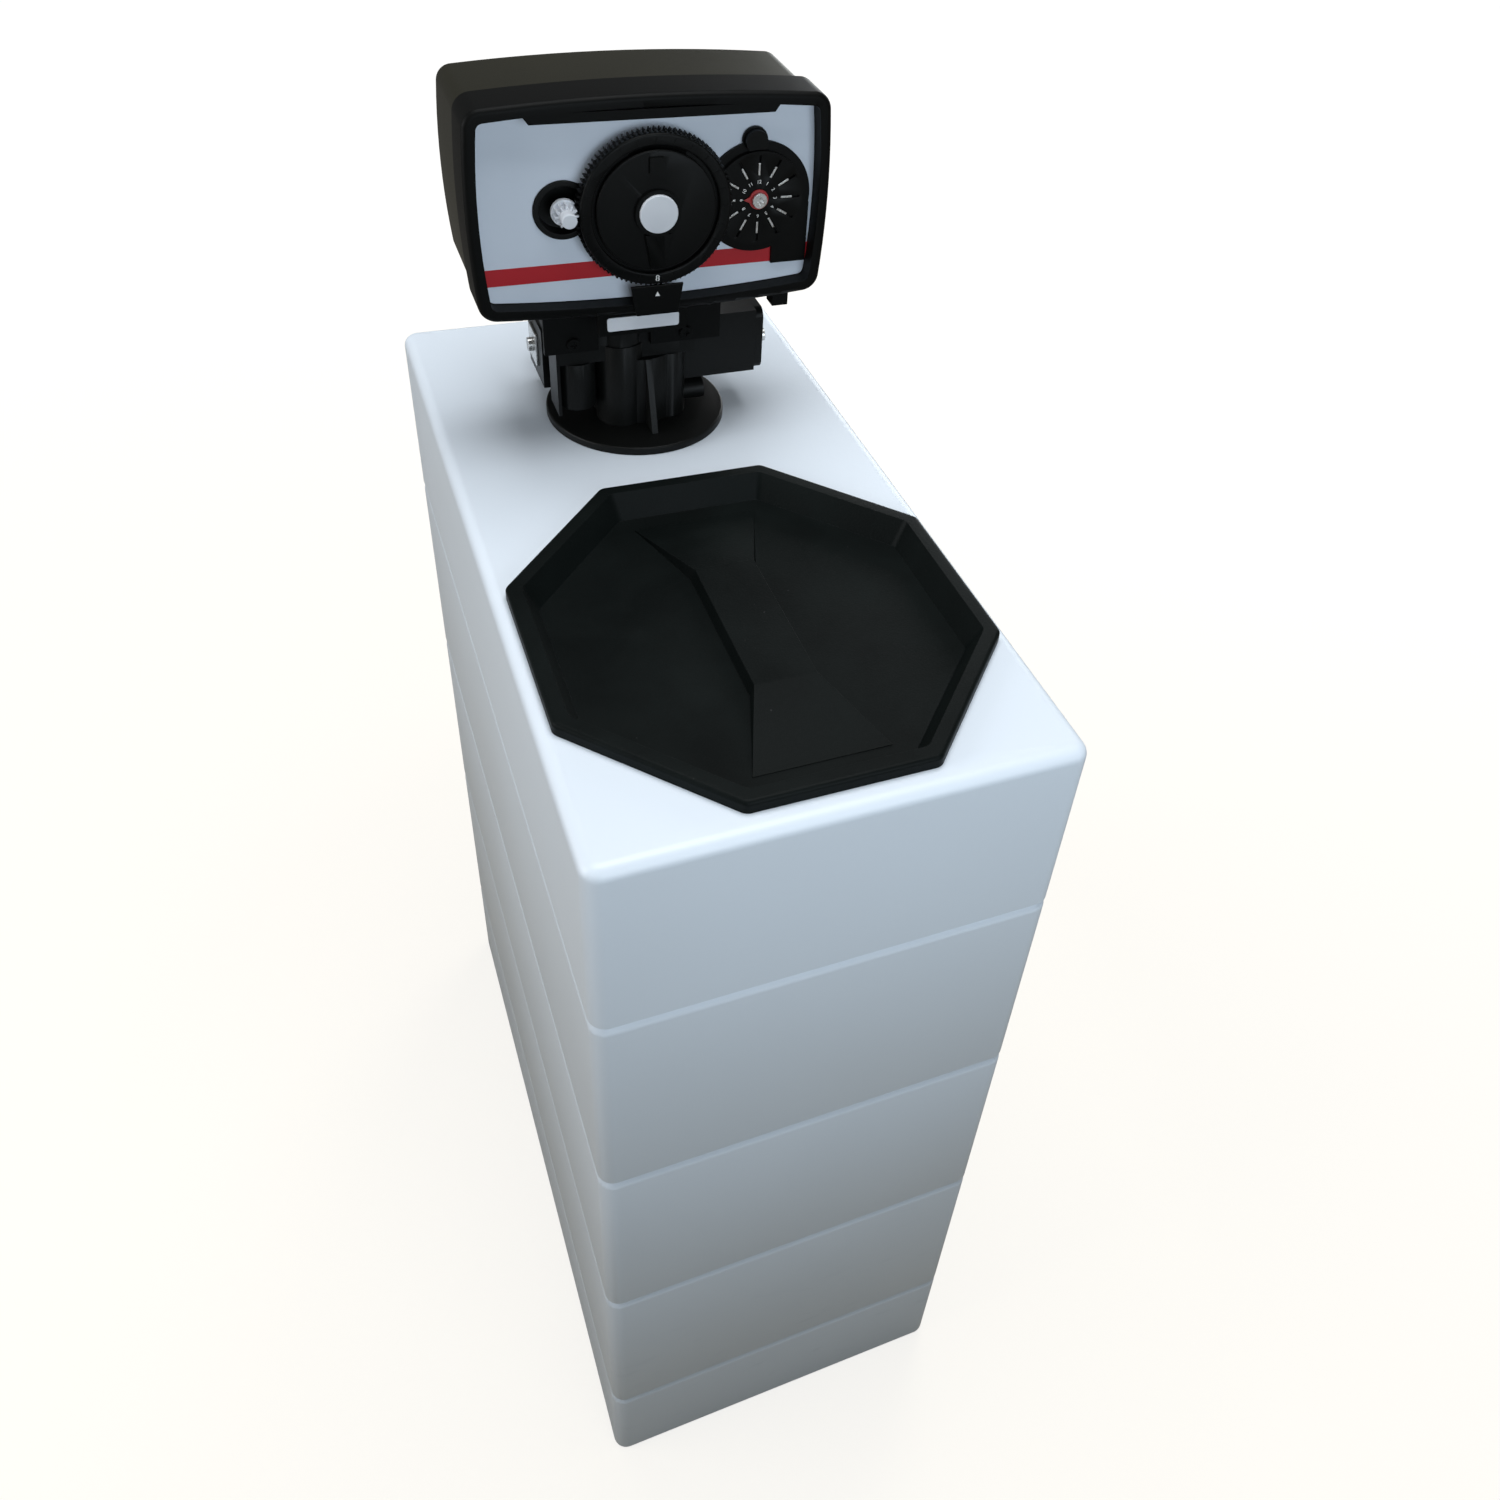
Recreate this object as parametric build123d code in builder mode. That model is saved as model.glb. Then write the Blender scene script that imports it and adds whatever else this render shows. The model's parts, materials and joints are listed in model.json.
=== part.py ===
from build123d import *
import math
import os

os.makedirs("parts", exist_ok=True)

# Compact cabinet water softener with a clock driven control valve. Millimetres, +Z up.
# The origin is the centre of the cabinet's base, -Y is the front.

# Clearances that many pieces share
seat_gap = 0.3
running_gap = 0.05
sliding_gap = 0.1
overrun = 1.0

# Cabinet
cabinet_width = 210.0
cabinet_depth = 409.0
cabinet_height = 552.5
cabinet_wall = 5.0
floor_thickness = 4.0
top_thickness = 5.0
corner_radius = 8.0
inner_corner_radius = 3.0
top_edge_radius = 6.0
base_edge = 1.5
groove_height_shares = (0.1361, 0.3690, 0.5989, 0.8250)
groove_depth = 2.6
groove_lower_run = 3.6
groove_upper_run = 1.2
spigot_height = 12.0
spigot_thickness = 3.0

# Salt lid, an octagon longer than it is wide
lid_side_margin = 6.7
lid_front_margin = 10.9
lid_valve_gap = 29.2
lid_front_flat = 81.0
lid_side_flat = 88.0
lid_corner_radius = 5.0
lid_rim_height = 6.0
lid_rim_width = 7.0
lid_rim_edge = 2.0
lid_seat_width = 6.0
lid_pan_depth = 12.0
lid_pan_run = 6.0
lid_wall = 2.5
grip_width = 28.0
grip_end_width = 60.0
grip_end_margin = 22.2
grip_slope_run = 44.0
grip_height = 6.0
grip_wall_run = 2.0
grip_tip = 0.3

# Mineral tank and what it holds
tank_side_gap = 11.0
tank_back_gap = 16.7
tank_wall = 3.0
tank_lift = 8.0
tank_dome_height = 45.0
tank_shoulder_height = 50.0
tank_neck_radius = 36.0
tank_neck_height = 25.0
dome_mid_shares = (0.72, 0.29)
shoulder_mid_share = 0.7071
foot_inner_radius = 50.0
foot_inset = 2.0
foot_height = 35.0
riser_radius = 13.5
riser_wall = 2.0
riser_rise = 6.0
strainer_radius = 24.0
strainer_height = 25.0
strainer_slot = 1.2
strainer_slot_count = 12
resin_top = 330.0

# Salt and brine compartment
grid_height = 60.0
grid_thickness = 4.0
grid_hole_radius = 4.0
grid_pitch = 20.0
grid_clearance = 1.5
grid_leg_radius = 6.0
grid_leg_inset = 14.0
well_side_gap = 7.5
well_tank_gap = 5.35
well_radius = 37.5
well_wall = 2.5
well_drop = 122.5
well_port_radius = 4.0
well_port_height = 20.0
well_port_count = 4
cap_thickness = 3.0
cap_skirt = 2.0
cap_depth = 12.0
cap_edge = 2.0
pickup_radius = 5.0
pickup_wall = 1.2
pickup_rise = 26.0
air_check_radius = 14.0
air_check_height = 56.0
air_check_slot = 2.0
float_stop_radius = 9.0
float_stop_height = 4.0
float_height = 190.0
float_length = 40.0
float_radius = 24.0
float_edge = 2.0

# Control valve body, on the tank's neck
valve_x = -2.2
valve_hole_radius = 42.0
flange_lift = 0.3
flange_radius = 45.8
flange_thickness = 4.0
flange_edge = 1.0
valve_thread_length = 22.0
throat_radius = 22.0
deck_height = 58.0
deck_thickness = 18.0
deck_left = 44.0
deck_right = 26.0
deck_depth = 36.7
barrel_setback = 10.3
barrel_radius = 12.4
barrel_height = 48.0
barrel_top_radius = 11.5
piston_bore_radius = 9.5
piston_bore_floor = 8.0
brine_barrel_x = 11.5
brine_barrel_setback = 9.8
brine_barrel_radius = 9.5
brine_bore_floor = 5.5
brine_port_radius = 3.0
brine_port_boss = 5.5
brine_port_height = 14.0
brine_port_reach = 19.0
drain_boss_x = -35.0
drain_boss_setback = 10.8
drain_boss_radius = 9.5
drain_boss_floor = 15.0
gusset_thickness = 3.0
gusset_x = -1.0
gusset_reach = 23.0
gusset_top_reach = 12.0
gusset_height = 40.0
side_rib_thickness = 1.6
side_rib_x = -46.2
side_rib_depth = 17.0
side_rib_floor = 12.0
port_block_half_width = 45.0
port_block_offset = 10.2
port_block_depth = 32.0
port_block_floor = 12.0
port_block_height = 32.0
port_block_edge = 3.0
port_spacing = 45.0
port_bore_radius = 13.5
port_bore_depth = 24.0
injector_left = 20.0
injector_length = 38.0
injector_setback = 13.8
injector_depth = 26.0
injector_floor = 22.0
injector_height = 34.0
injector_edge = 5.0
injector_cap_thickness = 4.0

# Valve fittings
seal_radius_gap = 0.1
seal_inner_radius = 6.1
seal_height = 2.0
seal_count = 5
spacer_height = 7.2
piston_radius = 6.0
piston_length = 16.0
piston_start = 19.4
piston_waist_radius = 4.5
piston_land = 5.0
rod_radius = 2.4
yoke_width = 28.0
yoke_height = 9.0
yoke_thickness = 3.0
yoke_slot_height = 3.6
yoke_side = 3.0
retainer_width = 36.0
retainer_depth = 20.0
retainer_thickness = 2.0
retainer_screw_spacing = 27.0
stem_radius = 2.4
stem_start = 11.0
stem_head_width = 10.0
stem_head_depth = 6.5
stem_head_thickness = 3.0
screw_head_radius = 3.6
screw_head_height = 2.5
screw_shank_radius = 1.7
screw_shank_length = 8.0
screw_slot = 0.9
screw_slot_depth = 1.0
injector_screw_spacing = 14.0
clip_thickness = 1.2
clip_depth = 16.0
clip_height = 18.0
coupling_flange_radius = 16.0
coupling_flange_thickness = 3.0
coupling_thread_radius = 13.2
coupling_thread_length = 21.0
coupling_bore_radius = 9.0
drain_height = 52.0
drain_nut_radius = 6.5
drain_nut_length = 8.0
drain_barb_radius = 5.5
drain_barb_step = 0.8
drain_barb_pitch = 5.0
drain_barb_count = 4
drain_bore_radius = 3.0

# Power head casing
head_x = -3.0
head_rise = 126.9
head_width = 165.8
head_height = 100.2
head_side_bow = 2.5
head_top_bow = 3.5
head_corner_radius = 8.5
head_setback = 43.8
frame_depth = 22.0
frame_wall = 3.0
frame_edge = 2.5
opening_inset = 5.2
ledge_inset = 9.7
ledge_thickness = 3.0
tab_width = 108.0
tab_slant = 3.0
tab_drop = 10.2
tab_thickness = 3.0
apron_width = 42.0
apron_x = -9.0
apron_drop = 10.5
apron_thickness = 4.0
apron_setback = 2.0
lug_x = 60.0
lug_width = 8.0
lug_depth = 8.0
lug_drop = 5.0
lug_setback = 4.0
cover_inset = 1.0
cover_drop = 2.6
cover_wall = 2.5
cover_depth = 49.0
cover_edge = 4.0
cover_cutout_width = 98.0
cover_cutout_depth = 32.0
cover_cutout_height = 13.0
label_depth = 8.0
label_thickness = 1.5
back_plate_inset = 4.5
back_plate_thickness = 3.0
bracket_width = 88.0
bracket_x = -8.0
bracket_lap = 10.0
bracket_notch_width = 26.0
bracket_notch_height = 16.0
head_screw_spacing = 56.0
head_screw_x = -10.0
head_screw_radius = 3.2
head_screw_head = 2.0
gland_x = 40.0
gland_drop = 32.0
gland_radius = 6.0
gland_flange_radius = 8.0
gland_flange_thickness = 2.0
gland_length = 9.0
gland_bore_radius = 3.0

# Clock work on the front of the power head
gear_module = 0.75
day_gear_teeth = 94
pinion_teeth = 12
mesh_gap = 0.15
tooth_tip_share = 0.24
tooth_pitch_share = 0.40
tooth_root_share = 0.56
root_depth_share = 1.25
gear_x = -3.0
gear_rise = 126.5
day_gear_setback = 1.0
day_gear_thickness = 3.0
dial_rim_outer = 34.6
dial_rim_width = 5.4
dial_rim_height = 2.5
dial_rim_edge = 0.9
day_hub_radius = 15.0
knob_radius = 27.5
knob_thickness = 2.3
knob_hub_radius = 10.9
knob_ring_height = 2.1
knob_ring_wall = 1.8
knob_edge = 0.7
knob_block_width = 7.0
knob_block_height = 7.5
knob_block_rise = 21.0
knob_block_thickness = 1.5
knob_pointer_top_width = 12.0
knob_pointer_tip_width = 6.5
knob_pointer_start = 10.0
knob_pointer_end = 26.0
knob_pointer_thickness = 1.7
knob_shaft_radius = 4.0
button_radius = 8.7
button_proud = 1.3
button_thickness = 3.0
button_travel = 2.8
button_edge = 0.5
crank_radius = 9.6
crank_pin_radius = 1.6
crank_pin_length = 1.4
main_gear_module = 1.0
main_gear_teeth = 44
main_gear_thickness = 3.0
cam_radius = 25.0
cam_width = 9.0
pinion_face = 4.5
pinion_lead = 1.0
pinion_hub_radius = 3.4
pinion_hub_length = 5.0
pinion_flange_radius = 6.0
pinion_flange_thickness = 2.0
pinion_nose = 2.0
set_travel = 5.0
set_shaft_radius = 2.0
set_shaft_length = 33.5
cup_radius = 12.3
cup_wall = 1.5
cup_depth = 8.5
cup_floor = 2.0
cup_flange_radius = 13.4
cup_flange_thickness = 1.0
motor_radius = 23.0
motor_length = 27.0
motor_offset_x = -9.0
motor_offset_z = 6.5
motor_strap_width = 10.0
motor_strap_length = 64.0
motor_strap_thickness = 1.5
motor_edge = 1.5
time_pointer_top_width = 25.0
time_pointer_bottom_width = 20.0
time_pointer_height = 14.6
time_pointer_thickness = 1.4
time_pointer_drop = 49.8
tag_width = 34.5
tag_height = 6.8
tag_thickness = 0.6
tag_drop = 1.2
tag_corner = 1.2

# Skipper wheel
skipper_x = 46.5
skipper_rise = 126.1
skipper_base_radius = 26.0
skipper_base_thickness = 1.5
skipper_bump_radius = 6.0
skipper_bump_shift = -1.8
skipper_bump_reach = 26.4
skipper_bump_height = 3.0
skipper_bump_step = 0.8
skipper_foot_width = 17.5
skipper_foot_height = 29.0
skipper_foot_reach = 17.25
skipper_foot_drop = 18.6
wheel_radius = 22.0
wheel_thickness = 2.1
tab_count = 12
tab_start_radius = 11.0
tab_radial_length = 5.5
tab_radial_travel = 3.5
tab_width_across = 1.0
tab_face_thickness = 1.1
pointer_ring_radius = 4.6
pointer_reach = 7.2
pointer_thickness = 0.8
pointer_base_share = 0.75
axle_radius = 2.0
axle_head_radius = 3.5
axle_head_height = 1.7
cross_slot = 0.9
cross_depth = 0.8

# Values that follow from the sizes above
groove_heights = [share * cabinet_height for share in groove_height_shares]
split_height = groove_heights[-1]
inner_width = cabinet_width - 2 * cabinet_wall
inner_depth = cabinet_depth - 2 * cabinet_wall
tank_radius = inner_width / 2 - tank_side_gap
valve_y = inner_depth / 2 - tank_back_gap - tank_radius
barrel_y = valve_y - barrel_setback
brine_barrel_y = valve_y - brine_barrel_setback
drain_boss_y = valve_y - drain_boss_setback
port_block_front = valve_y + port_block_offset
injector_front = valve_y - injector_setback
head_front_y = valve_y - head_setback
well_x = inner_width / 2 - well_side_gap - well_radius
well_distance = tank_radius + well_tank_gap + well_radius
well_y = valve_y - math.sqrt(well_distance ** 2 - (well_x - valve_x) ** 2)
lid_width = cabinet_width - 2 * lid_side_margin
lid_front = lid_front_margin - cabinet_depth / 2
lid_length = valve_y - flange_radius - lid_valve_gap - lid_front
lid_y = lid_front + lid_length / 2
grip_full_length = lid_length - 2 * grip_end_margin
grip_length = grip_full_length - 2 * grip_slope_run
rim_top = cabinet_height + lid_rim_height
pan_floor = rim_top - lid_pan_depth
pan_slope = lid_pan_run / lid_pan_depth
neck_top = cabinet_height + flange_lift
tank_bottom = floor_thickness + tank_lift
well_top = cabinet_height - well_drop
head_z = cabinet_height + head_rise
gear_z = cabinet_height + gear_rise
skipper_z = cabinet_height + skipper_rise
frame_back = head_front_y + frame_depth
day_gear_front = head_front_y + day_gear_setback
label_front = head_front_y + label_depth
label_back = label_front + label_thickness
plate_front = frame_back + seat_gap
plate_back = plate_front + back_plate_thickness
deck_top = neck_top + deck_height
bore_floor = neck_top + piston_bore_floor
barrel_x = gear_x - crank_radius
pinion_x = gear_x - gear_module * (day_gear_teeth + pinion_teeth) / 2 - mesh_gap
day_gear_back = day_gear_front + day_gear_thickness
knob_back = day_gear_front - seat_gap
knob_front = knob_back - knob_thickness
ring_front = knob_front - knob_ring_height
button_front = ring_front - button_proud
well_floor = button_front + button_thickness + button_travel + seat_gap
main_gear_front = plate_back + seat_gap
main_gear_back = main_gear_front + main_gear_thickness
stem_top = gear_z - cam_radius - seat_gap
wheel_back = label_front - skipper_base_thickness - sliding_gap
wheel_front = wheel_back - wheel_thickness
pinion_front = day_gear_front - pinion_lead
port_x = (valve_x - port_spacing / 2, valve_x + port_spacing / 2)
port_z = neck_top + port_block_floor + port_block_height / 2
port_block_back = port_block_front + port_block_depth
injector_z = neck_top + injector_floor + injector_height / 2
injector_y = injector_front + injector_depth / 2
injector_end = injector_left + injector_length
valve_axis = Axis((valve_x, valve_y, 0), (0, 0, 1))


def finish(builder, name):
    """Label a finished piece and write its file."""
    builder.part.label = name
    export_step(builder.part, f"parts/{name}.step")


def front_plane(x, y, z):
    """Upright plane that faces the front: local x is X and local y is Z."""
    return Plane(origin=(x, y, z), x_dir=(1, 0, 0), z_dir=(0, -1, 0))


def level_box(left, right, front, back, low, high, mode=Mode.ADD):
    """Box given by its six sides."""
    with Locations((left, front, low)):
        Box(right - left, back - front, high - low, align=(Align.MIN, Align.MIN, Align.MIN), mode=mode)


def upright(x, y, low, high, radius, mode=Mode.ADD):
    """Cylinder along Z between two heights."""
    with Locations((x, y, low)):
        Cylinder(radius, high - low, align=(Align.CENTER, Align.CENTER, Align.MIN), mode=mode)


def upright_tube(x, y, low, high, radius, bore):
    """Tube along Z between two heights."""
    upright(x, y, low, high, radius)
    upright(x, y, low, high, bore, mode=Mode.SUBTRACT)


def turned(x, z, front, back, radius, mode=Mode.ADD):
    """Cylinder along Y between two depths."""
    with BuildSketch(front_plane(x, front, z)) as disc:
        Circle(radius)
    extrude(disc.sketch, amount=front - back, mode=mode)


def cabinet_section(height, inset):
    """The cabinet's outline at a height, drawn in by an inset."""
    with BuildSketch(Plane.XY.offset(height)) as section:
        RectangleRounded(cabinet_width - 2 * inset, cabinet_depth - 2 * inset, corner_radius - inset)
    return section.sketch


def lid_outline(height, inset):
    """The lid's octagon at a height, drawn in by an inset."""
    half_width, half_length = lid_width / 2, lid_length / 2
    front_half, side_half = lid_front_flat / 2, lid_side_flat / 2
    corners = [
        (half_width, -side_half),
        (half_width, side_half),
        (front_half, half_length),
        (-front_half, half_length),
        (-half_width, side_half),
        (-half_width, -side_half),
        (-front_half, -half_length),
        (front_half, -half_length),
    ]
    with BuildSketch(Plane.XY.offset(height)) as outline:
        with Locations((0, lid_y)):
            Polygon(*corners)
        if inset:
            offset(amount=-inset, kind=Kind.INTERSECTION)
        fillet(outline.vertices(), lid_corner_radius)
    return outline.sketch


def head_outline(y, inset, drop=0):
    """The power head's bowed outline at a depth, drawn in by an inset and made lower by a drop."""
    half_width, half_height = head_width / 2 - inset, head_height / 2 - inset - drop
    corner_x, corner_z = half_width - head_side_bow, half_height - head_top_bow
    with BuildSketch(front_plane(head_x, y, head_z)) as outline:
        with BuildLine():
            ThreePointArc((corner_x, -corner_z), (half_width, 0), (corner_x, corner_z))
            ThreePointArc((corner_x, corner_z), (0, half_height), (-corner_x, corner_z))
            ThreePointArc((-corner_x, corner_z), (-half_width, 0), (-corner_x, -corner_z))
            ThreePointArc((-corner_x, -corner_z), (0, -half_height), (corner_x, -corner_z))
        make_face()
        fillet(outline.vertices(), max(head_corner_radius - inset, inner_corner_radius))
    return outline.sketch


def gear_outline(x, y, z, module, teeth, phase_share):
    """Spur gear seen from the front, with straight sided teeth; the phase is a share of a pitch."""
    pitch_radius = module * teeth / 2
    radii = (pitch_radius - root_depth_share * module, pitch_radius, pitch_radius + module)
    half_shares = (tooth_root_share / 2, tooth_pitch_share / 2, tooth_tip_share / 2)
    step = 2 * math.pi / teeth
    corners = []
    for tooth in range(teeth):
        rising = [(radii[i], tooth - half_shares[i]) for i in range(len(radii))]
        falling = [(radii[i], tooth + half_shares[i]) for i in reversed(range(len(radii)))]
        for radius, place in rising + falling:
            angle = (place + phase_share) * step
            corners.append((radius * math.cos(angle), radius * math.sin(angle)))
    with BuildSketch(front_plane(x, y, z)) as outline:
        Polygon(*corners, align=None)
    return outline.sketch


# Cabinet tub: bands between ring grooves, each groove with a short upper lip and a longer lower slope
tub_levels = [(0, base_edge), (base_edge, 0)]
for groove in groove_heights[:-1]:
    tub_levels += [(groove - groove_lower_run, 0), (groove, groove_depth), (groove + groove_upper_run, 0)]
tub_levels += [(split_height - groove_lower_run, 0), (split_height, groove_depth)]

with BuildPart() as cabinet_tub:
    loft(sections=[cabinet_section(height, inset) for height, inset in tub_levels], ruled=True)
    with BuildSketch(Plane.XY.offset(floor_thickness)):
        RectangleRounded(inner_width, inner_depth, inner_corner_radius)
    extrude(amount=split_height, mode=Mode.SUBTRACT)
finish(cabinet_tub, "cabinet_tub")

with BuildPart() as cabinet_top:
    loft(
        sections=[
            cabinet_section(split_height, groove_depth),
            cabinet_section(split_height + groove_upper_run, 0),
            cabinet_section(cabinet_height, 0),
        ],
        ruled=True,
    )
    fillet(cabinet_top.faces().sort_by(Axis.Z)[-1].edges(), top_edge_radius)
    with BuildSketch(Plane.XY.offset(split_height)):
        RectangleRounded(inner_width, inner_depth, inner_corner_radius)
    extrude(amount=cabinet_height - top_thickness - split_height, mode=Mode.SUBTRACT)
    for ring_gap, ring_height in ((0, spigot_height), (seat_gap, -spigot_height)):
        with BuildSketch(Plane.XY.offset(split_height)):
            RectangleRounded(inner_width - 2 * ring_gap, inner_depth - 2 * ring_gap, inner_corner_radius)
            Rectangle(
                inner_width - 2 * spigot_thickness, inner_depth - 2 * spigot_thickness, mode=Mode.SUBTRACT
            )
        extrude(amount=ring_height)
    lid_hole = lid_outline(cabinet_height, lid_seat_width)
    extrude(lid_hole, amount=-top_thickness - overrun, mode=Mode.SUBTRACT)
    upright(valve_x, valve_y, cabinet_height - top_thickness - overrun, cabinet_height + overrun,
            valve_hole_radius, mode=Mode.SUBTRACT)
finish(cabinet_top, "cabinet_top")


def grip_section(y, top_width, bottom_width, height):
    """Upright section across the lid's grip bar, rooted in the pan's floor."""
    root = lid_wall / 2
    with BuildSketch(front_plane(0, y, pan_floor)) as section:
        Polygon(
            (-bottom_width / 2, -root),
            (bottom_width / 2, -root),
            (top_width / 2, height),
            (-top_width / 2, height),
            align=None,
        )
    return section.sketch


with BuildPart() as salt_lid:
    extrude(lid_outline(cabinet_height, 0), amount=lid_rim_height)
    fillet(salt_lid.faces().sort_by(Axis.Z)[-1].edges(), lid_rim_edge)
    upper_inset = lid_rim_width + pan_slope * lid_rim_height - lid_wall
    lower_inset = lid_rim_width + pan_slope * (lid_pan_depth + lid_wall) - lid_wall
    loft(
        sections=[lid_outline(pan_floor - lid_wall, lower_inset), lid_outline(cabinet_height, upper_inset)],
        ruled=True,
    )
    loft(
        sections=[lid_outline(pan_floor, lid_rim_width + lid_pan_run), lid_outline(rim_top, lid_rim_width)],
        ruled=True,
        mode=Mode.SUBTRACT,
    )
    grip_back = lid_y + grip_length / 2
    grip_front = lid_y - grip_length / 2
    grip_bottom_width = grip_width + 2 * grip_wall_run
    extrude(grip_section(grip_back, grip_width, grip_bottom_width, grip_height), amount=grip_length)
    for inner_y, outer_y in (
        (grip_front, lid_y - grip_full_length / 2),
        (grip_back, lid_y + grip_full_length / 2),
    ):
        loft(
            sections=[
                grip_section(inner_y, grip_width, grip_bottom_width, grip_height),
                grip_section(outer_y, grip_end_width, grip_end_width, grip_tip),
            ],
            ruled=True,
        )
finish(salt_lid, "salt_lid")


def tank_face(shrink):
    """Half section of the tank's outside, shrunk by a wall or grown by a negative amount."""
    radius, neck = tank_radius - shrink, tank_neck_radius - shrink
    low, side_low = tank_bottom + shrink, tank_bottom + tank_dome_height
    side_high = neck_top - tank_neck_height - tank_shoulder_height
    shoulder_top = neck_top - tank_neck_height - shrink
    dome_mid = (dome_mid_shares[0] * radius, low + dome_mid_shares[1] * (side_low - low))
    shoulder_mid = (
        neck + shoulder_mid_share * (radius - neck),
        side_high + shoulder_mid_share * (shoulder_top - side_high),
    )
    with BuildSketch(front_plane(valve_x, valve_y, 0)) as face:
        with BuildLine():
            ThreePointArc((0, low), dome_mid, (radius, side_low))
            Line((radius, side_low), (radius, side_high))
            ThreePointArc((radius, side_high), shoulder_mid, (neck, shoulder_top))
            Polyline((neck, shoulder_top), (neck, neck_top), (0, neck_top), (0, low))
        make_face()
    return face.sketch


with BuildPart() as mineral_tank:
    revolve(tank_face(0), axis=valve_axis)
    revolve(tank_face(tank_wall), axis=valve_axis, mode=Mode.SUBTRACT)
finish(mineral_tank, "mineral_tank")

with BuildPart() as tank_foot:
    with BuildSketch(front_plane(valve_x, valve_y, floor_thickness)):
        with Locations((foot_inner_radius, 0)):
            foot_wall = tank_radius - foot_inset - foot_inner_radius
            Rectangle(foot_wall, foot_height, align=(Align.MIN, Align.MIN))
    revolve(axis=valve_axis)
    revolve(tank_face(-seat_gap), axis=valve_axis, mode=Mode.SUBTRACT)
finish(tank_foot, "tank_foot")

strainer_low = tank_bottom + tank_wall + seat_gap
strainer_top = strainer_low + strainer_height
with BuildPart() as resin_bed:
    with BuildSketch(front_plane(valve_x, valve_y, 0)):
        add(tank_face(tank_wall + seat_gap))
        Rectangle(tank_radius, resin_top, align=(Align.MIN, Align.MIN), mode=Mode.INTERSECT)
        Rectangle(riser_radius + seat_gap, resin_top, align=(Align.MIN, Align.MIN), mode=Mode.SUBTRACT)
        Rectangle(
            strainer_radius + seat_gap, strainer_top + seat_gap, align=(Align.MIN, Align.MIN),
            mode=Mode.SUBTRACT,
        )
    revolve(axis=valve_axis)
finish(resin_bed, "resin_bed")

with BuildPart() as riser_tube:
    upright_tube(
        valve_x, valve_y, strainer_top, neck_top + riser_rise, riser_radius, riser_radius - riser_wall
    )
finish(riser_tube, "riser_tube")

with BuildPart() as bottom_strainer:
    upright(valve_x, valve_y, strainer_low, strainer_top, strainer_radius)
    upright(
        valve_x, valve_y, strainer_low + riser_wall, strainer_top, strainer_radius - riser_wall,
        mode=Mode.SUBTRACT,
    )
    upright_tube(
        valve_x, valve_y, strainer_top - riser_wall, strainer_top,
        strainer_radius, riser_radius - riser_wall,
    )
    with Locations((valve_x, valve_y, (strainer_low + strainer_top) / 2)):
        with PolarLocations(strainer_radius, strainer_slot_count):
            Box(2 * riser_wall + overrun, strainer_slot, strainer_height / 2, mode=Mode.SUBTRACT)
finish(bottom_strainer, "bottom_strainer")

# Salt grid: a plate on four legs that clears the tank and the brine well
grid_front_y = -inner_depth / 2 + grid_clearance
grid_back_y = valve_y - tank_radius / 2
grid_half_width = inner_width / 2 - grid_clearance
hole_area_depth = well_y - well_radius - grid_front_y
hole_columns = int(inner_width // grid_pitch) - 1
hole_rows = int(hole_area_depth // grid_pitch)
with BuildPart() as salt_grid:
    level_box(
        -grid_half_width, grid_half_width, grid_front_y, grid_back_y,
        grid_height, grid_height + grid_thickness,
    )
    for leg_x in (-inner_width / 2 + grid_leg_inset, inner_width / 2 - grid_leg_inset):
        for leg_y in (grid_front_y + grid_leg_inset, well_y + well_radius):
            upright(leg_x, leg_y, floor_thickness, grid_height, grid_leg_radius)
    upright(
        valve_x, valve_y, grid_height - overrun, grid_height + grid_thickness + overrun,
        tank_radius + tank_wall, mode=Mode.SUBTRACT,
    )
    upright(
        well_x, well_y, floor_thickness, grid_height + grid_thickness + overrun,
        well_radius + overrun, mode=Mode.SUBTRACT,
    )
    with BuildSketch(Plane.XY.offset(grid_height)):
        with Locations((0, grid_front_y + hole_area_depth / 2)):
            with GridLocations(grid_pitch, grid_pitch, hole_columns, hole_rows):
                Circle(grid_hole_radius)
    extrude(amount=grid_thickness, mode=Mode.SUBTRACT)
finish(salt_grid, "salt_grid")

with BuildPart() as brine_well:
    upright_tube(well_x, well_y, floor_thickness, well_top, well_radius, well_radius - well_wall)
    with Locations((well_x, well_y, floor_thickness + well_port_height)):
        with PolarLocations(well_radius, well_port_count):
            Cylinder(well_port_radius, 2 * well_wall + overrun, rotation=(0, 90, 0), mode=Mode.SUBTRACT)
finish(brine_well, "brine_well")

with BuildPart() as well_cap:
    cap_radius = well_radius + seat_gap + cap_skirt
    upright(well_x, well_y, well_top - cap_depth, well_top + cap_thickness, cap_radius)
    upright(well_x, well_y, well_top - cap_depth, well_top, well_radius + seat_gap, mode=Mode.SUBTRACT)
    upright(
        well_x, well_y, well_top, well_top + cap_thickness, pickup_radius + seat_gap, mode=Mode.SUBTRACT
    )
    top_circles = well_cap.edges().filter_by(GeomType.CIRCLE).group_by(Axis.Z)[-1]
    fillet(top_circles.sort_by(SortBy.RADIUS)[-1], cap_edge)
finish(well_cap, "well_cap")

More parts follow.
